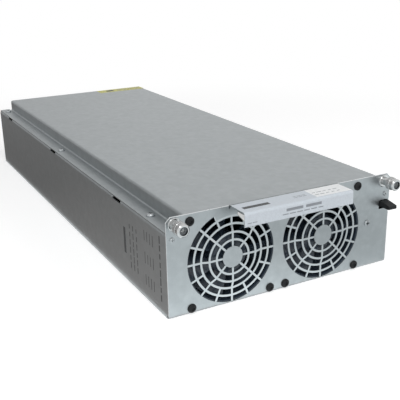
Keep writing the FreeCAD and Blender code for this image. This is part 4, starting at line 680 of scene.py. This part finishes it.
# %% [markdown]
# ## White world
# The photograph has a plain white ground. The world is white to the rays that leave the camera and to those
# that the metal mirrors, and a dim grey as the light of the room, so that it doesn't wash the colours out.
# More light on the object would turn the ground white too, but it would bleach the object with it. The Light
# Path node tells the kinds of ray apart.

# %% White world
ROOM_LIGHT = 0.35


def seen(tree):
    """One for rays from the camera and for rays mirrored or passed on by the object, and zero otherwise."""
    path = add_node(tree, "ShaderNodeLightPath")
    mirror = add_node(tree, "ShaderNodeMath", {"operation": "MAXIMUM"}, {
        0: path.outputs["Is Glossy Ray"], 1: path.outputs["Is Transmission Ray"]})
    both = add_node(tree, "ShaderNodeMath", {"operation": "MAXIMUM"}, {
        0: path.outputs["Is Camera Ray"], 1: mirror.outputs["Value"]})
    return both.outputs["Value"]


def studio_world():
    """White to the camera and to reflections, and a dimmer grey as the light of the room."""
    world = bpy.data.worlds.new("white studio")
    world.use_nodes = True
    tree = world.node_tree
    tree.nodes.clear()
    strength = add_node(tree, "ShaderNodeMapRange", None, {
        "Value": seen(tree), "To Min": ROOM_LIGHT, "To Max": 1.0})
    glow = add_node(tree, "ShaderNodeBackground", None, {
        "Color": linear("#FFFFFF"), "Strength": strength.outputs["Result"]})
    add_node(tree, "ShaderNodeOutputWorld", None, {"Surface": glow.outputs["Background"]})
    bpy.context.scene.world = world


studio_world()
print("white world that lights the room at", ROOM_LIGHT)

# %% [markdown]
# ## Floor
# The case stands on a sweep of white paper. Near the object the paper is matt and keeps the shadow, with a
# little glow of its own so that it reads as white, and away from the object it fades to pure white. All
# pieces of the studio are flat quadrilaterals, so one function makes them.

# %% Floor
FLOOR_HALF, FLOOR_GLOW, FLOOR_WHITE = 4.0, 0.4, "#E8E8E8"
FADE_STARTS, FADE_ENDS = 0.35, 0.9


def flat_piece(name, finish, corners):
    """A flat piece of the studio with an empty material, returned with that material's tree."""
    material = bpy.data.materials.new(finish)
    material.use_nodes = True
    material.node_tree.nodes.clear()
    mesh = bpy.data.meshes.new(name)
    mesh.from_pydata(corners, [], [(0, 1, 2, 3)])
    mesh.materials.append(material)
    piece = bpy.data.objects.new(name, mesh)
    bpy.context.scene.collection.objects.link(piece)
    return piece, material.node_tree


def level(left, right, front, rear, height):
    """The corners of a level piece."""
    return [(left, front, height), (right, front, height), (right, rear, height), (left, rear, height)]


def studio_floor():
    """White paper that shows the shadow near the object, and fades to pure white away from it."""
    floor, tree = flat_piece("floor", "white paper sweep",
                             level(-FLOOR_HALF, FLOOR_HALF, -FLOOR_HALF, FLOOR_HALF, 0))
    matt = add_node(tree, "ShaderNodeBsdfDiffuse", None, {"Color": linear(FLOOR_WHITE)})
    visible = seen(tree)
    lift = add_node(tree, "ShaderNodeMath", {"operation": "MULTIPLY"}, {0: visible, 1: FLOOR_GLOW})
    glow = add_node(tree, "ShaderNodeEmission", None, {"Strength": lift.outputs["Value"]})
    near = add_node(tree, "ShaderNodeAddShader", None, {0: matt.outputs["BSDF"], 1: glow.outputs["Emission"]})
    far = add_node(tree, "ShaderNodeEmission", None, {"Strength": 1.0})
    place = add_node(tree, "ShaderNodeTexCoord").outputs["Object"]
    away = add_node(tree, "ShaderNodeVectorMath", {"operation": "LENGTH"}, {0: place})
    fade = add_node(tree, "ShaderNodeMapRange", {"interpolation_type": "SMOOTHSTEP"}, {
        "Value": away.outputs["Value"], "From Min": FADE_STARTS, "From Max": FADE_ENDS})
    share = add_node(tree, "ShaderNodeMath", {"operation": "MULTIPLY"}, {
        0: fade.outputs["Result"], 1: visible})
    ground = add_node(tree, "ShaderNodeMixShader", None, {
        "Fac": share.outputs["Value"], 1: near.outputs["Shader"], 2: far.outputs["Emission"]})
    add_node(tree, "ShaderNodeOutputMaterial", None, {"Surface": ground.outputs["Shader"]})


studio_floor()
print("white floor of", 2 * FLOOR_HALF, "m that keeps shadows within", FADE_STARTS, "m")

# %% [markdown]
# ## Cards for the metal to mirror
# Bare metal has hardly a tone of its own: it reads as bright as what it mirrors. Seen from the camera, the
# left wall mirrors the floor at its left, the front panel mirrors the floor before it, and the top and the
# ledges mirror what stands behind the case. So each of them gets a card that only reflections see. A card's
# glow runs from one share to another along an axis, as the tone runs across the photographed sheet. A small
# bright card at the place of the main lamp puts the glints on the knobs.

# %% Cards for the metal to mirror
CARD_LIFT, CARD_GAP = 1 * MM, 2 * MM
# How far the cards on the floor reach: left, right, front, rear.
WALL_CARD = (cad_low.x - 0.5, cad_low.x - CARD_GAP, -0.32, cad_high.y + 0.8)
PANEL_CARD = (-0.4, 0.9, -1.2, PANEL_FRONT - CARD_GAP)
# The card behind the case stands upright: left, right, distance behind, height.
TOP_CARD = (-3, 2.5, 0.9, 1.6)
# Each ramp: axis, start, end, share of the glow at the start, share at the end.
WALL_RAMPS = [("Y", -0.25, 0.15, 0.41, 0.2)]
PANEL_RAMPS = [("Y", PANEL_FRONT - 0.1, PANEL_FRONT, 0.92, 1.5),
               ("Y", PANEL_FRONT - 0.26, PANEL_FRONT - 0.15, 1.45, 1.0),
               ("X", -0.02, 0.12, 1.0, 0.64), ("X", 0.19, 0.27, 1.0, 1.7)]
TOP_RAMPS = [("X", -1.0, 0.0, 0.42, 0.68), ("X", 0.0, 0.45, 1.0, 1.22)]
KEY_AT = Vector((-0.7, -1.6, 1.6))
GLINT_SIDE, GLINT_GLOW = 0.5, 8


def glow_card(name, tint, glow, corners, ramps=()):
    """A card that only reflections see, so that it sets how bright the metal that mirrors it reads."""
    card, tree = flat_piece(name, "lit card", corners)
    place = add_node(tree, "ShaderNodeTexCoord").outputs["Object"]
    axes = add_node(tree, "ShaderNodeSeparateXYZ", None, {"Vector": place})
    for axis, start, end, at_start, at_end in ramps:
        ramp = add_node(tree, "ShaderNodeMapRange", None, {
            "Value": axes.outputs[axis], "From Min": start, "From Max": end,
            "To Min": at_start, "To Max": at_end})
        glow = add_node(tree, "ShaderNodeMath", {"operation": "MULTIPLY"}, {
            0: ramp.outputs["Result"], 1: glow}).outputs["Value"]
    light = add_node(tree, "ShaderNodeEmission", None, {"Color": linear(tint), "Strength": glow})
    add_node(tree, "ShaderNodeOutputMaterial", None, {"Surface": light.outputs["Emission"]})
    card.visible_camera = False
    card.visible_diffuse = False
    card.visible_shadow = False
    card.visible_transmission = False


def upright(left, right, distance, height):
    """The corners of a piece that stands on the floor behind the case."""
    behind = cad_high.y + distance
    return [(left, behind, 0), (right, behind, 0), (right, behind, height), (left, behind, height)]


def square_towards(at, towards, side):
    """The corners of a square that faces a point."""
    turn = (towards - at).to_track_quat("-Z", "Y")
    half = side / 2
    square = ((-half, -half), (half, -half), (half, half), (-half, half))
    return [at + turn @ Vector((x, y, 0)) for x, y in square]


middle = (cad_low + cad_high) / 2
glow_card("left_card", "#FFF9F6", 1, level(*WALL_CARD, CARD_LIFT), WALL_RAMPS)
glow_card("front_card", "#F7FDFF", 1, level(*PANEL_CARD, CARD_LIFT), PANEL_RAMPS)
glow_card("back_card", "#FFFFFF", 1, upright(*TOP_CARD), TOP_RAMPS)
glow_card("glint_card", "#FFFFFF", GLINT_GLOW, square_towards(KEY_AT, middle, GLINT_SIDE))
print("cards at the left, in front, behind and at the main lamp")

# %% [markdown]
# ## Lamps
# Two soft lamps light what isn't metal: a large one high up at the left, well in front of the case, and a
# weaker one at the right that opens the shadows. Reflections don't see the lamps, because a mirrored lamp
# would turn flat metal pure white from some sides. The cards stand in for them there.

# %% Lamps
FILL_AT = Vector((1.5, -0.8, 1.4))


def soft_lamp(name, at, side, watts):
    """A square area lamp that faces the middle of the case."""
    light = bpy.data.lights.new(name, "AREA")
    light.size = side
    light.energy = watts
    lamp = bpy.data.objects.new(name, light)
    lamp.location = at
    lamp.visible_glossy = False
    lamp.rotation_mode = "QUATERNION"
    lamp.rotation_quaternion = (middle - at).to_track_quat("-Z", "Y")
    bpy.context.scene.collection.objects.link(lamp)
    print(name, "lamp of", watts, "W,", round((at - middle).length, 2), "m away")


soft_lamp("key", KEY_AT, side=1.6, watts=34)
soft_lamp("fill", FILL_AT, side=1.2, watts=8)
bpy.context.scene.view_settings.view_transform = "Standard"

# %% [markdown]
# ## Camera
# The viewpoint was worked out from the photograph: the edges of the case vanish to three points, and the
# known proportions of the two fans fix the distance. The camera leans a little to one side, as a hand-held
# one does. Everything is sharp, so depth of field stays off.

# %% Camera
CAMERA_AT = Vector((-352.6, -792.0, 303.4)) * MM
AZIMUTH = math.radians(-27.8)
ELEVATION = math.radians(19.36)
LEAN = math.radians(-1.21)
LENS_MM, SENSOR_MM = 63.5, 36

view = bpy.data.cameras.new("camera")
view.sensor_width = SENSOR_MM
view.lens = LENS_MM
view.dof.use_dof = False
camera = bpy.data.objects.new("camera", view)
camera.location = CAMERA_AT
back = Vector((math.sin(AZIMUTH) * math.cos(ELEVATION), -math.cos(AZIMUTH) * math.cos(ELEVATION),
               math.sin(ELEVATION)))
camera.rotation_mode = "QUATERNION"
camera.rotation_quaternion = (-back).to_track_quat("-Z", "Y") @ Quaternion((0, 0, 1), LEAN)
bpy.context.scene.collection.objects.link(camera)
bpy.context.scene.camera = camera
print("camera", round((CAMERA_AT - middle).length, 2), "m from the middle of the case")
